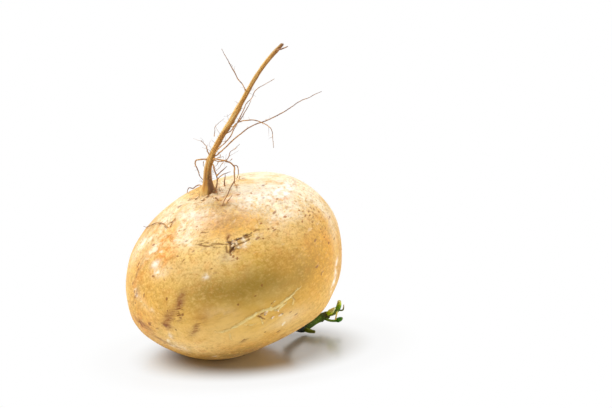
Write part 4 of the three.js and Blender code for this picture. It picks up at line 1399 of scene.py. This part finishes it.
@dataclass(frozen=True)
class Thread:
    """A thin root: the solid that it stands for, its thickest radius, how dark it is, and its route."""

    node: str
    radius: float
    ageing: float
    route: tuple | np.ndarray

    def shape(self, seed: int, sides: int = 9, step: float = 0.4) -> Shape:
        """The shape of the thin root.

        Its radius is full at the base and falls as 1 - 0.6 share^2, times 1 + 0.18 noise, with a base
        swollen by 0.5 exp(-(distance / 0.9 mm)^2) and a few beads. Its centre line wobbles by noise that
        is 0 at both ends.

        Args:
            seed: picks its unevenness.
            sides: corners of the section.
            step: distance between rings, in millimetres.

        Returns:
            Its vertices, faces and fields.
        """
        rod = Rod(self.route, sides, step)
        straight = rod.straight(self.radius)
        line = rod.centres + np.array([0.37, 0.11, 0.73]) * seed
        along = rod.share * rod.length
        held = np.minimum(1, np.minimum(along, rod.length - along) / 3.0)[..., None]
        coarse, fine = (
            np.stack([lattice_noise(line, size, first + axis) for axis in range(3)], axis=-1)
            for size, first in ((3.1, 60), (1.2, 63))
        )
        beads = smooth_step(0.72, 0.95, lattice_noise(line, 2.3, 68))[:, None]
        radius = self.radius * (1 - 0.6 * rod.share**2) * (1 + 0.5 * hump(along / 0.9)) * (1 + 0.55 * beads)
        radius *= 1 + 0.18 * lattice_noise(line, 1.4, 66)[:, None] + 0.10 * lattice_noise(straight, 0.4, 67)
        ageing = self.ageing * smooth_step(0.0, 0.5, rod.share) + 0.3 * lattice_noise(line, 5.0, 69)[:, None]
        fields = {"straight": (straight + [0, 0, 40.0 * seed]) * MM, "ageing": np.clip(ageing, 0, 1.2)}
        return rod.shape(radius, fields, 0.22 * held * (coarse + 0.4 * fine)[:, None])

    def build(self, seed: int, finish: bpy.types.Material) -> None:
        """Makes it as a piece of its own, which stands for its solid."""
        make_piece(self.node + "_bark", self.shape(seed), finish, "root_thread", self.node)


@dataclass
class SideRoots:
    """The side roots of the tail, which start in its bark and hang free, loop back or reach the skin."""

    finish: bpy.types.Material
    threads: tuple = (
        Thread("side_root_long", 0.36, 0.7, (
            (-11, -12.5, 115), (-8, -14.5, 116.5), (-4.5, -17, 120), (0.5, -18.5, 125), (6.5, -19, 130.5),
            (13, -19, 134.5), (21, -18.5, 137.5), (30, -17.5, 142), (37, -16, 146.5), (43, -14.5, 149),
            (50, -13, 152))),
        Thread("side_root_curled", 0.32, 0.3, (
            (-4.5, -11.8, 126.5), (-2.5, -12.5, 128.5), (0.5, -12.7, 130.5), (2.5, -12.5, 133.5),
            (5.5, -13, 135.3), (9.5, -13.5, 136), (14, -14.5, 136), (17.5, -15, 135), (20.5, -15, 133),
            (22.5, -15, 130.5), (23, -14.5, 126.5), (23.5, -14, 120.5))),
        Thread("side_root_top", 0.3, 0.75, (
            (8, -9.5, 152), (7, -12, 155), (4, -13, 159.5), (0, -14, 167), (-4.5, -15, 176))),
        Thread("side_root_near", 0.32, 0.6, (
            (-11, -12.5, 114.5), (-8, -15.5, 119), (-4, -16, 123), (-0.5, -15.5, 127), (2.5, -15, 132.5),
            (5.5, -14, 138.5), (8.5, -13.5, 145), (11.5, -12.5, 148), (13, -12, 151.5), (15, -11.5, 153.5),
            (19.5, -11, 156), (24, -10, 158.5))),
        Thread("side_root_far", 0.32, 0.6, (
            (-1, -11, 132), (1.5, -9, 131.5), (5, -7.5, 135), (7.5, -6.5, 139), (9.5, -6, 142.5),
            (11, -5.5, 145.5))),
        Thread("side_root_left_loop", 0.38, 0.35, (
            (-12, -12.5, 113.5), (-14.5, -14, 114), (-17.5, -14.5, 114), (-19.5, -14.5, 113.5),
            (-20, -14.5, 112), (-19, -13.8, 108.5), (-17, -12.5, 103), (-14.5, -11.3, 100.5))),
        Thread("side_root_right_loop", 0.44, 0.5, (
            (-12, -12.5, 113.5), (-8.5, -16, 114.5), (-4.5, -18.5, 114.5), (-1.5, -20, 114),
            (0.5, -21, 113), (2, -22, 111.5), (2, -24, 108.5), (2, -26, 105), (0, -28, 101), (-2, -29, 97),
            (-4.2, -29.4, 92.5), (-4.8, -28, 89.5))),
        Thread("side_root_loop_twig", 0.3, 0.2, ((2, -26, 104.5), (2.5, -26.8, 103), (4, -27.8, 101.5))),
        Thread("side_root_loop_branch", 0.28, 0.4, (
            (1.2, -21.5, 112.3), (3.5, -20, 111.5), (4, -20, 109), (4, -20.5, 106.5), (3, -22, 104.5))),
        Thread("side_root_right", 0.28, 0.6, (
            (-10.5, -12.5, 113.5), (-6.5, -11, 112), (-2.5, -10, 113), (-1.5, -9.5, 114.5), (-1, -9, 116.5),
            (1.5, -8, 118.5), (4.5, -7, 121))),
        Thread("side_root_left", 0.3, 0.3, (
            (-12, -12.5, 115.5), (-13, -13.5, 118.5), (-13.5, -14, 121.5), (-14.5, -14.5, 122.5),
            (-16.5, -15.5, 125))),
        Thread("side_root_collar", 0.42, 0.7, (
            (-12, -12.5, 112.5), (-10, -15, 111), (-9.5, -17.5, 109.5), (-8, -19.5, 106),
            (-7.5, -19.5, 103), (-8.3, -17.8, 99), (-9.1, -15.4, 95.8), (-10, -12.6, 92.5))),
        Thread("side_root_collar_branch", 0.34, 0.8, (
            (-8, -19.5, 106), (-6, -20.5, 108), (-3.5, -21.5, 110.5), (-2, -22, 112))),
        Thread("side_root_collar_twig", 0.3, 0.7, (
            (-7.5, -19.6, 104), (-6, -21.5, 106), (-4.5, -22.5, 107.5), (-2.5, -23.5, 108.5),
            (0, -24.5, 109.5))),
        Thread("tail_twig", 0.5, 1, (
            (25, -3.3, 173), (27, -5.5, 174), (28.5, -6.5, 174.5), (31.5, -7, 176))),
    )

    def build(self) -> None:
        """Makes each side root."""
        for number, thread in enumerate(self.threads, 1):
            thread.build(number, self.finish)


@dataclass
class SkinRoots:
    """Thin roots that grow from the skin itself; each route point is a bearing, a height and a lift."""

    body: SwollenRoot
    finish: bpy.types.Material
    ageing: float = 0.7
    roots: tuple = (
        ("skin_root_upright", 0.42, ((-34, 80.5, -1.5), (-33, 81, 1.5), (-32, 81.5, 4), (-30, 82, 6.5))),
        ("skin_root_front", 0.34, ((-28, 65, -1.5), (-20, 62, 1), (-14, 59, -1.5))),
        ("skin_root_crossing", 0.3, ((-6, 56, -1.5), (-3, 58.5, 0.9), (2, 63, 1.8))),
        ("skin_root_left", 0.34, (
            (-98, 69, -1.5), (-108, 66, 1.6), (-113, 62, 1.4), (-114, 59, 0.9), (-112, 57, 2.2),
            (-112, 54.5, 0.8), (-113, 52, -1.5))),
        ("skin_root_shoulder", 0.32, (
            (-51, 32.5, -1.5), (-57, 34, 0.8), (-66, 34, 0.8), (-76, 31.5, 0.8), (-84, 26, 0.8),
            (-90, 23.5, 0.9), (-95, 22, 1.8))),
    )

    def build(self) -> None:
        """Makes each skin root."""
        for number, (node, radius, marks) in enumerate(self.roots, 31):
            route = self.body.on_skin(*np.array(marks, dtype=float).T)
            Thread(node, radius, self.ageing, route).build(number, self.finish)


@dataclass
class FineHairs:
    """Hair-thin rootlets, finer than the side roots, on the collar, the tail, the threads and the crown.

    The areas on the skin are a bearing, a height and a spread in degrees, and how many hairs they have.
    """

    body: SwollenRoot
    tail: TailRoot
    side_roots: SideRoots
    finish: bpy.types.Material
    seed: int = 29
    sides: int = 5
    step: float = 0.45
    floor_clearance: float = 0.5
    on_bark: int = 62
    collar: tuple = (-50, 70, 5.5, 46)
    crown: tuple = (113, -46, 7.0, 26)
    haired_threads: int = 12
    strand: tuple = ((-53, 32.5, -0.5), (-53, 36, 0.6), (-54, 39, 0.9), (-55, 41.5, 0.5))
    drawn: tuple = (
        ((-7.1, -15, 112.9), (-7.9, -15, 110.9), (-9, -15, 110.1)),
        ((-4.5, -16, 112.6), (-5.7, -16, 110.9), (-6.5, -16, 109.5), (-8.2, -16, 108.3)),
        ((-7.6, -15, 115.2), (-6, -15.2, 115.4), (-4.3, -15, 115.8), (-4.3, -15, 114.6)),
        ((-6, -15, 116.9), (-6.1, -15, 115.8), (-6.2, -15, 114.6)),
        ((0.7, -19, 115.5), (0, -19.3, 114.8), (-0.7, -19.2, 113.9)),
        ((-15.4, -14, 112.7), (-15.6, -14, 111.2), (-15.5, -13.4, 109.8)),
        ((5.2, -27, 107.9), (4.8, -27, 106), (4.1, -27, 104.2)),
        ((-9.5, -10, 126), (-9.1, -10, 129), (-8.8, -10, 131.6), (-3.7, -10, 136.2)),
    )

    def __post_init__(self) -> None:
        """Starts the random numbers."""
        self.luck = np.random.default_rng(self.seed)

    def hair(self, root: np.ndarray, out: np.ndarray, length: float, radius: float) -> Shape:
        """One hair: start + out * s * length, bent by s^2 times a random bend and by a smaller kink.

        Args:
            root: where it starts.
            out: direction in which it starts.
            length: its length.
            radius: its radius at the base.

        Returns:
            Its vertices, faces and fields.
        """
        share = np.linspace(0, 1, 6)[:, None]
        bend, kink = self.luck.normal(size=3) * 0.45, self.luck.normal(size=3) * 0.10
        route = root + length * (out * share + bend * share**2 + kink * np.sin(share * 7.0))
        rod = Rod(route, self.sides, self.step)
        straight = rod.straight(radius) + [0, 0, self.luck.uniform(0, 900)]
        fields = {"straight": straight * MM, "ageing": self.luck.uniform(0.0, 1.0) * np.ones_like(rod.share)}
        return rod.shape(radius * (1 - 0.7 * rod.share), fields)

    def on_tail(self) -> list[Shape]:
        """Hairs on the bark, most of them low down.

        Returns:
            Their shapes.
        """
        line = smooth_route(self.tail.route, 300)
        last, made = len(line) - 1, []
        for share in 0.10 + 0.62 * self.luck.random(self.on_bark) ** 1.7:
            spot = int(share * last)
            ahead = unit(line[min(spot + 1, last)] - line[spot - 1])
            out = unit(np.cross(ahead, self.luck.normal(size=3)))
            start = line[spot] + out * (self.tail.plain_radius(share) - 0.2)
            made.append(self.hair(start, unit(out + 0.5 * ahead), self.luck.uniform(1.0, 4.5), 0.11))
        return made

    def on_skin(self, bearing: float, height: float, spread: float, count: int) -> list[Shape]:
        """Hairs on the skin.

        Args:
            bearing: bearing of their area.
            height: height of their area.
            spread: how far they lie from its middle, in degrees.
            count: how many there are.

        Returns:
            Their shapes.
        """
        made = []
        for _ in range(count):
            out = unit(direction(bearing, height) + self.luck.normal(size=3) * math.radians(spread))
            lean = unit(out + 0.54 * self.luck.normal(size=3))
            made.append(self.hair(self.body.at(out, -0.3), lean, self.luck.uniform(0.8, 3.4), 0.12))
        return made

    def on_threads(self) -> list[Shape]:
        """A few hairs on each side root.

        Returns:
            Their shapes.
        """
        made = []
        for thread in self.side_roots.threads[: self.haired_threads]:
            line = smooth_route(thread.route, 60)
            for spot in self.luck.integers(8, 56, 4):
                out = unit(line[spot] - line[spot - 1] + 0.9 * self.luck.normal(size=3))
                made.append(self.hair(line[spot], out, self.luck.uniform(1.0, 4.0), 0.10))
        return made

    def build(self) -> None:
        """Makes all the hairs as one piece."""
        hairs = self.on_tail() + self.on_skin(*self.collar) + self.on_threads() + self.on_skin(*self.crown)
        for number, route in enumerate(self.drawn, 51):
            hairs.append(Thread("", 0.16, 0.6, route).shape(number, 6))
        strand = self.body.on_skin(*np.array(self.strand, dtype=float).T)
        hairs.append(Thread("", 0.26, 0.3, strand).shape(71, 6))
        clear = joined([hair for hair in hairs if hair[0][:, 2].min() > self.floor_clearance])
        make_piece("fine_hairs", clear, self.finish, "root_thread")


# ---- The vine at the crown ---------------------------------------------------------------------------


@dataclass(frozen=True)
class Stem:
    """A piece of the vine: the solid that it stands for, its slot, how many ribs it has, how flat its
    section is, how fresh its end's cut is, its radii from end to end, its route, and its colour stops."""

    node: str
    slot: str
    ribs: int
    flat: float
    cut: float
    radii: tuple
    route: tuple
    stops: tuple


@dataclass
class VineStub:
    """The stub of green vine at the crown, with its side shoot, bud, leaf stalk and stipules."""

    sides: int = 30
    step: float = 0.16
    rounding: float = 0.5
    ringed: str = "vine_stem"
    node_rings: tuple = ((0.84, 0.45), (0.95, 0.3))
    stems: tuple = (
        # the main stem is near black over its first third, where it runs in under the body: painted shade
        Stem("vine_stem", "old_stem", 6, 1, 0, (2.7, 2.2, 2.1, 2.1, 2.2, 2.5, 2.1),
            ((29, 12.5, 9), (34.5, 15.8, 5.6), (39.8, 19, 3.3), (43.8, 22, 4.9), (47.8, 26, 6.5),
             (51.5, 29, 7.5), (55.2, 30, 8.5)),
            ((0, "080C10"), (0.36, "10141A"), (0.46, "26380A"), (0.62, "3C5208"), (0.76, "465E0C"),
             (0.88, "3E4A14"), (0.95, "5C5A30"), (1, "5A4A28"))),
        Stem("old_stem_stub", "old_stem", 6, 1, 0.3, (1.4, 1.3, 0.8),
            ((40, 18.8, 3.4), (43.7, 16.5, 2.8), (46.9, 15.5, 2.6)),
            ((0, "1A2008"), (0.4, "566A0A"), (0.8, "5C6210"), (1, "2E200C"))),
        Stem("vine_shoot", "young_shoot", 5, 1, 0.35, (1.4, 1.7, 1.6, 1.45, 1.1),
            ((55, 30, 8.5), (58, 28, 10.6), (60.2, 26, 13.6), (60.9, 25, 16.4), (61.1, 24, 18.9)),
            ((0, "7A8A10"), (0.25, "A2B02A"), (0.42, "86A258"), (0.6, "6C9436"), (0.75, "7CA818"),
             (0.9, "BCCC34"), (1, "D2D860"))),
        # the bud's near white upper end is a painted highlight
        Stem("axil_bud", "young_shoot", 4, 1, 0, (1.1, 1.6, 0.7),
            ((54, 29.3, 9), (56.3, 26, 11.8), (58.4, 23.8, 14.6)),
            ((0, "C0A450"), (0.2, "B4D808"), (0.5, "CEE81C"), (0.72, "F4F49C"), (1, "F2F2B8"))),
        Stem("leaf_stalk", "young_shoot", 4, 1, 0, (0.9, 0.75, 0.75),
            ((52.6, 28.2, 6.6), (55.9, 26, 6), (59.2, 25, 6.2)),
            ((0, "3E6420"), (0.4, "8AAE58"), (1, "5E9036"))),
        Stem("leaf_base", "young_shoot", 3, 0.8, 0, (0.9, 1.8, 1.6, 0.7),
            ((58.7, 25, 6.2), (60.3, 25.5, 6.5), (61.7, 26, 7), (63, 27, 7.3)),
            ((0, "42801E"), (0.5, "36701A"), (0.8, "4E6E18"), (1, "7A5A24"))),
        Stem("stipule_left", "young_shoot", 3, 0.8, 0, (0.6, 0.55, 0.5),
            ((59.9, 25.6, 12.4), (59.3, 23.6, 9.8), (58.8, 24, 7.3)),
            ((0, "EEE89A"), (0.5, "E6D66A"), (1, "D8B83C"))),
        # the pinkish white at the stipule's top end is a painted highlight
        Stem("stipule_right", "young_shoot", 3, 1, 0, (0.5, 0.45, 0.3),
            ((60.4, 25.5, 12.6), (63.2, 25, 13), (63.8, 24, 16.6)),
            ((0, "5E7A2A"), (0.6, "8A8A40"), (1, "F0DCC0"))),
    )

    def shape(self, stem: Stem, number: int) -> Shape:
        """The shape of a stem.

        Its radius is read from its list along the length, times 1 + 0.05 cos(ribs * a + drift), plus
        fine ribs from noise squeezed along it and, on the main stem, a ring round each node. The ends
        are rounded by sqrt(1 - (1 - t)^2).

        Args:
            stem: the stem.
            number: its place in the list, which picks its noise.

        Returns:
            Its vertices, faces and fields.
        """
        rod = Rod(stem.route, self.sides, self.step)
        straight = rod.straight(max(stem.radii))
        radius = np.interp(rod.share, np.linspace(0, 1, len(stem.radii)), stem.radii)
        drift = lattice_noise(straight + 50.0 * number, 4.0, 71)
        radius *= 1 + 0.05 * np.cos(stem.ribs * rod.angle + 2 * drift)
        radius += 0.07 * fractal(straight * [1, 1, 0.2] + 9.0 * number, 0.7, 72, 2)
        for share, rise in self.node_rings if stem.node == self.ringed else ():
            radius += rise * hump((rod.share - share) / 0.022) * (0.6 + 0.4 * drift)
        radius *= np.sqrt(np.cos(rod.angle) ** 2 + (stem.flat * np.sin(rod.angle)) ** 2)
        ends = np.minimum(1, np.minimum(rod.share, 1 - rod.share) * rod.length / self.rounding)
        radius *= 0.75 + 0.25 * np.sqrt(1 - (1 - ends) ** 2)
        cut = stem.cut * smooth_step(0.965, 0.985, rod.share)
        fields = {"straight": (straight + 30.0 * number) * MM, "share": rod.share, "cut": cut}
        return rod.shape(radius, fields, tip=0.15)

    def build(self) -> None:
        """Makes each stem."""
        for number, stem in enumerate(self.stems):
            finish = VineFinish(stem.node, stem.stops).build()
            make_piece(stem.node + "_peel", self.shape(stem, number), finish, stem.slot, stem.node)


# ---- Camera, floor and light -------------------------------------------------------------------------


def hang(name: str, data: bpy.types.ID, place: Vector, aim: Vector) -> bpy.types.Object:
    """Puts a lamp or a camera at a place, pointed at another.

    Args:
        name: its name.
        data: the lamp or the camera.
        place: where it is.
        aim: what it points at.

    Returns:
        The object.
    """
    hung = link(name, data)
    hung.location = place
    hung.rotation_euler = (aim - hung.location).to_track_quat("-Z", "Y").to_euler()
    return hung


@dataclass(frozen=True)
class Softbox:
    """An area lamp: its name, place, its sides in metres, its power, and the place it points at."""

    name: str
    place: tuple
    size: tuple
    power: float
    aim: tuple = (0.0, 0.0, 0.05)


@dataclass
class Studio:
    """The camera, a white floor, a white surround and soft boxes round the root."""

    elevation: float = 15.0
    distance: float = 0.972
    lens: float = 100.0
    near_clip: float = 0.01
    aim_offset: tuple = (0.0402, 0.0079, -0.0063)
    ambient: float = 0.03
    floor_half: float = 3.0
    floor_white: tuple = (0.92, 0.92, 0.92, 1.0)
    # painted shadow and reflection on the floor: the camera sees this dark tan round the root, in an ellipse
    # with the centre, turn and scale below, lifted to white from lift_from to lift_end
    painted_floor_shadow: tuple = (0.33, 0.29, 0.21, 1.0)
    shade_centre: tuple = (0.011, -0.008, 0.0)
    shade_turn: float = -0.39
    shade_scale: tuple = (0.66, 1.0, 1.0)
    lift_from: float = 0.024
    lift_to: float = 0.051
    lift_end: float = 0.07
    lift_share: float = 0.93
    lamps: tuple = (
        Softbox("key_box", (-0.60, 0.0, 0.95), (0.6, 0.8), 12.0),
        Softbox("top_box", (0.60, 0.0, 0.95), (0.6, 0.8), 2.6),
        Softbox("back_box", (0.0, 0.60, 0.95), (0.8, 0.6), 3.0),
        Softbox("right_box", (1.0, -0.10, 0.35), (0.6, 0.6), 7.0),
        Softbox("front_box", (-0.75, -0.75, 0.35), (0.6, 0.6), 3.6),
    )

    def camera(self) -> None:
        """Sets the camera up from the box of the solids."""
        low, high = CAD_BOX
        aim = (low + high) / 2 + Vector(self.aim_offset)
        rise = math.radians(self.elevation)
        data = bpy.data.cameras.new("camera")
        data.lens = self.lens
        data.clip_start = self.near_clip
        place = aim + self.distance * Vector((0.0, -math.cos(rise), math.sin(rise)))
        bpy.context.scene.camera = hang("camera", data, place, aim)

    def light(self, box: Softbox) -> None:
        """Hangs one soft box.

        Args:
            box: the lamp.
        """
        data = bpy.data.lights.new(box.name, "AREA")
        data.shape = "RECTANGLE"
        data.size, data.size_y = box.size
        data.energy = box.power
        hang(box.name, data, Vector(box.place), Vector(box.aim))

    def surround(self) -> None:
        """White where it is looked at, reflected or seen through, and softer as a source of light."""
        world = bpy.data.worlds.new("white_surround")
        g = Graph(world)
        rays = g.node("LightPath", {}).outputs
        seen = g.math("MAXIMUM", rays["Is Camera Ray"], rays["Is Glossy Ray"])
        seen = g.math("MAXIMUM", seen, rays["Is Transmission Ray"])
        levels = (self.ambient, 1.0)
        dim, bright = (g.node("Background", {0: WHITE, 1: level}).outputs[0] for level in levels)
        mixed = g.node("MixShader", {0: seen, 1: dim, 2: bright})
        g.node("OutputWorld", {0: mixed.outputs[0]})
        bpy.context.scene.world = world

    def floor(self) -> None:
        """A glossy white floor; where it is looked at, it has a painted shadow, a dark tan round the root
        that stands for its shadow and reflection, and is lifted to white away from the root.
        """
        g = Coat("white_floor")
        seen = g.node("LightPath", {}).outputs["Is Camera Ray"]
        # painted shadow: camera rays see the dark tan, other rays the white
        surface = {
            "Base Color": g.mix(seen, self.floor_white, self.painted_floor_shadow),
            "Roughness": 0.3, "Specular IOR Level": 0.3,
            "Coat Weight": 1.0, "Coat IOR": 1.9, "Coat Roughness": 0.20,
        }
        centred = g.vector("SUBTRACT", {0: g.place, 1: self.shade_centre})
        shaped = g.moved(g.moved(centred, turn=(0, 0, self.shade_turn)), scale=self.shade_scale)
        away = g.vector("LENGTH", {0: shaped}, "Value")
        near = g.step(away, self.lift_from, self.lift_to, self.lift_share)
        lift = g.total(near, g.step(away, self.lift_to, self.lift_end, 1 - self.lift_share))
        gloss = g.node("BsdfPrincipled", surface).outputs[0]
        glow = g.node("Emission", {"Color": WHITE, "Strength": 1.0}).outputs[0]
        mixed = g.node("MixShader", {0: g.product(seen, lift), 1: gloss, 2: glow})
        g.node("OutputMaterial", {"Surface": mixed.outputs[0]})
        half = self.floor_half
        corners = [(-half, -half, 0), (half, -half, 0), (half, half, 0), (-half, half, 0)]
        mesh = bpy.data.meshes.new("floor")
        mesh.from_pydata(corners, [], [(0, 1, 2, 3)])
        mesh.materials.append(g.material)
        link("floor", mesh)

    def build(self) -> None:
        """Sets up the camera, the floor and the light."""
        bpy.context.scene.view_settings.view_transform = "Standard"
        self.camera()
        self.surround()
        self.floor()
        for box in self.lamps:
            self.light(box)


def main() -> None:
    """Builds the studio and every piece of the root."""
    logging.basicConfig(level=logging.INFO, format="%(name)s: %(message)s")
    Studio().build()
    body = SwollenRoot()
    body.build()
    SkinFlakes(body).build()
    tail = TailRoot()
    tail.build()
    threads = ThreadFinish().build()
    side_roots = SideRoots(threads)
    side_roots.build()
    SkinRoots(body, threads).build()
    FineHairs(body, tail, side_roots, threads).build()
    VineStub().build()


if __name__ == "__main__":
    main()
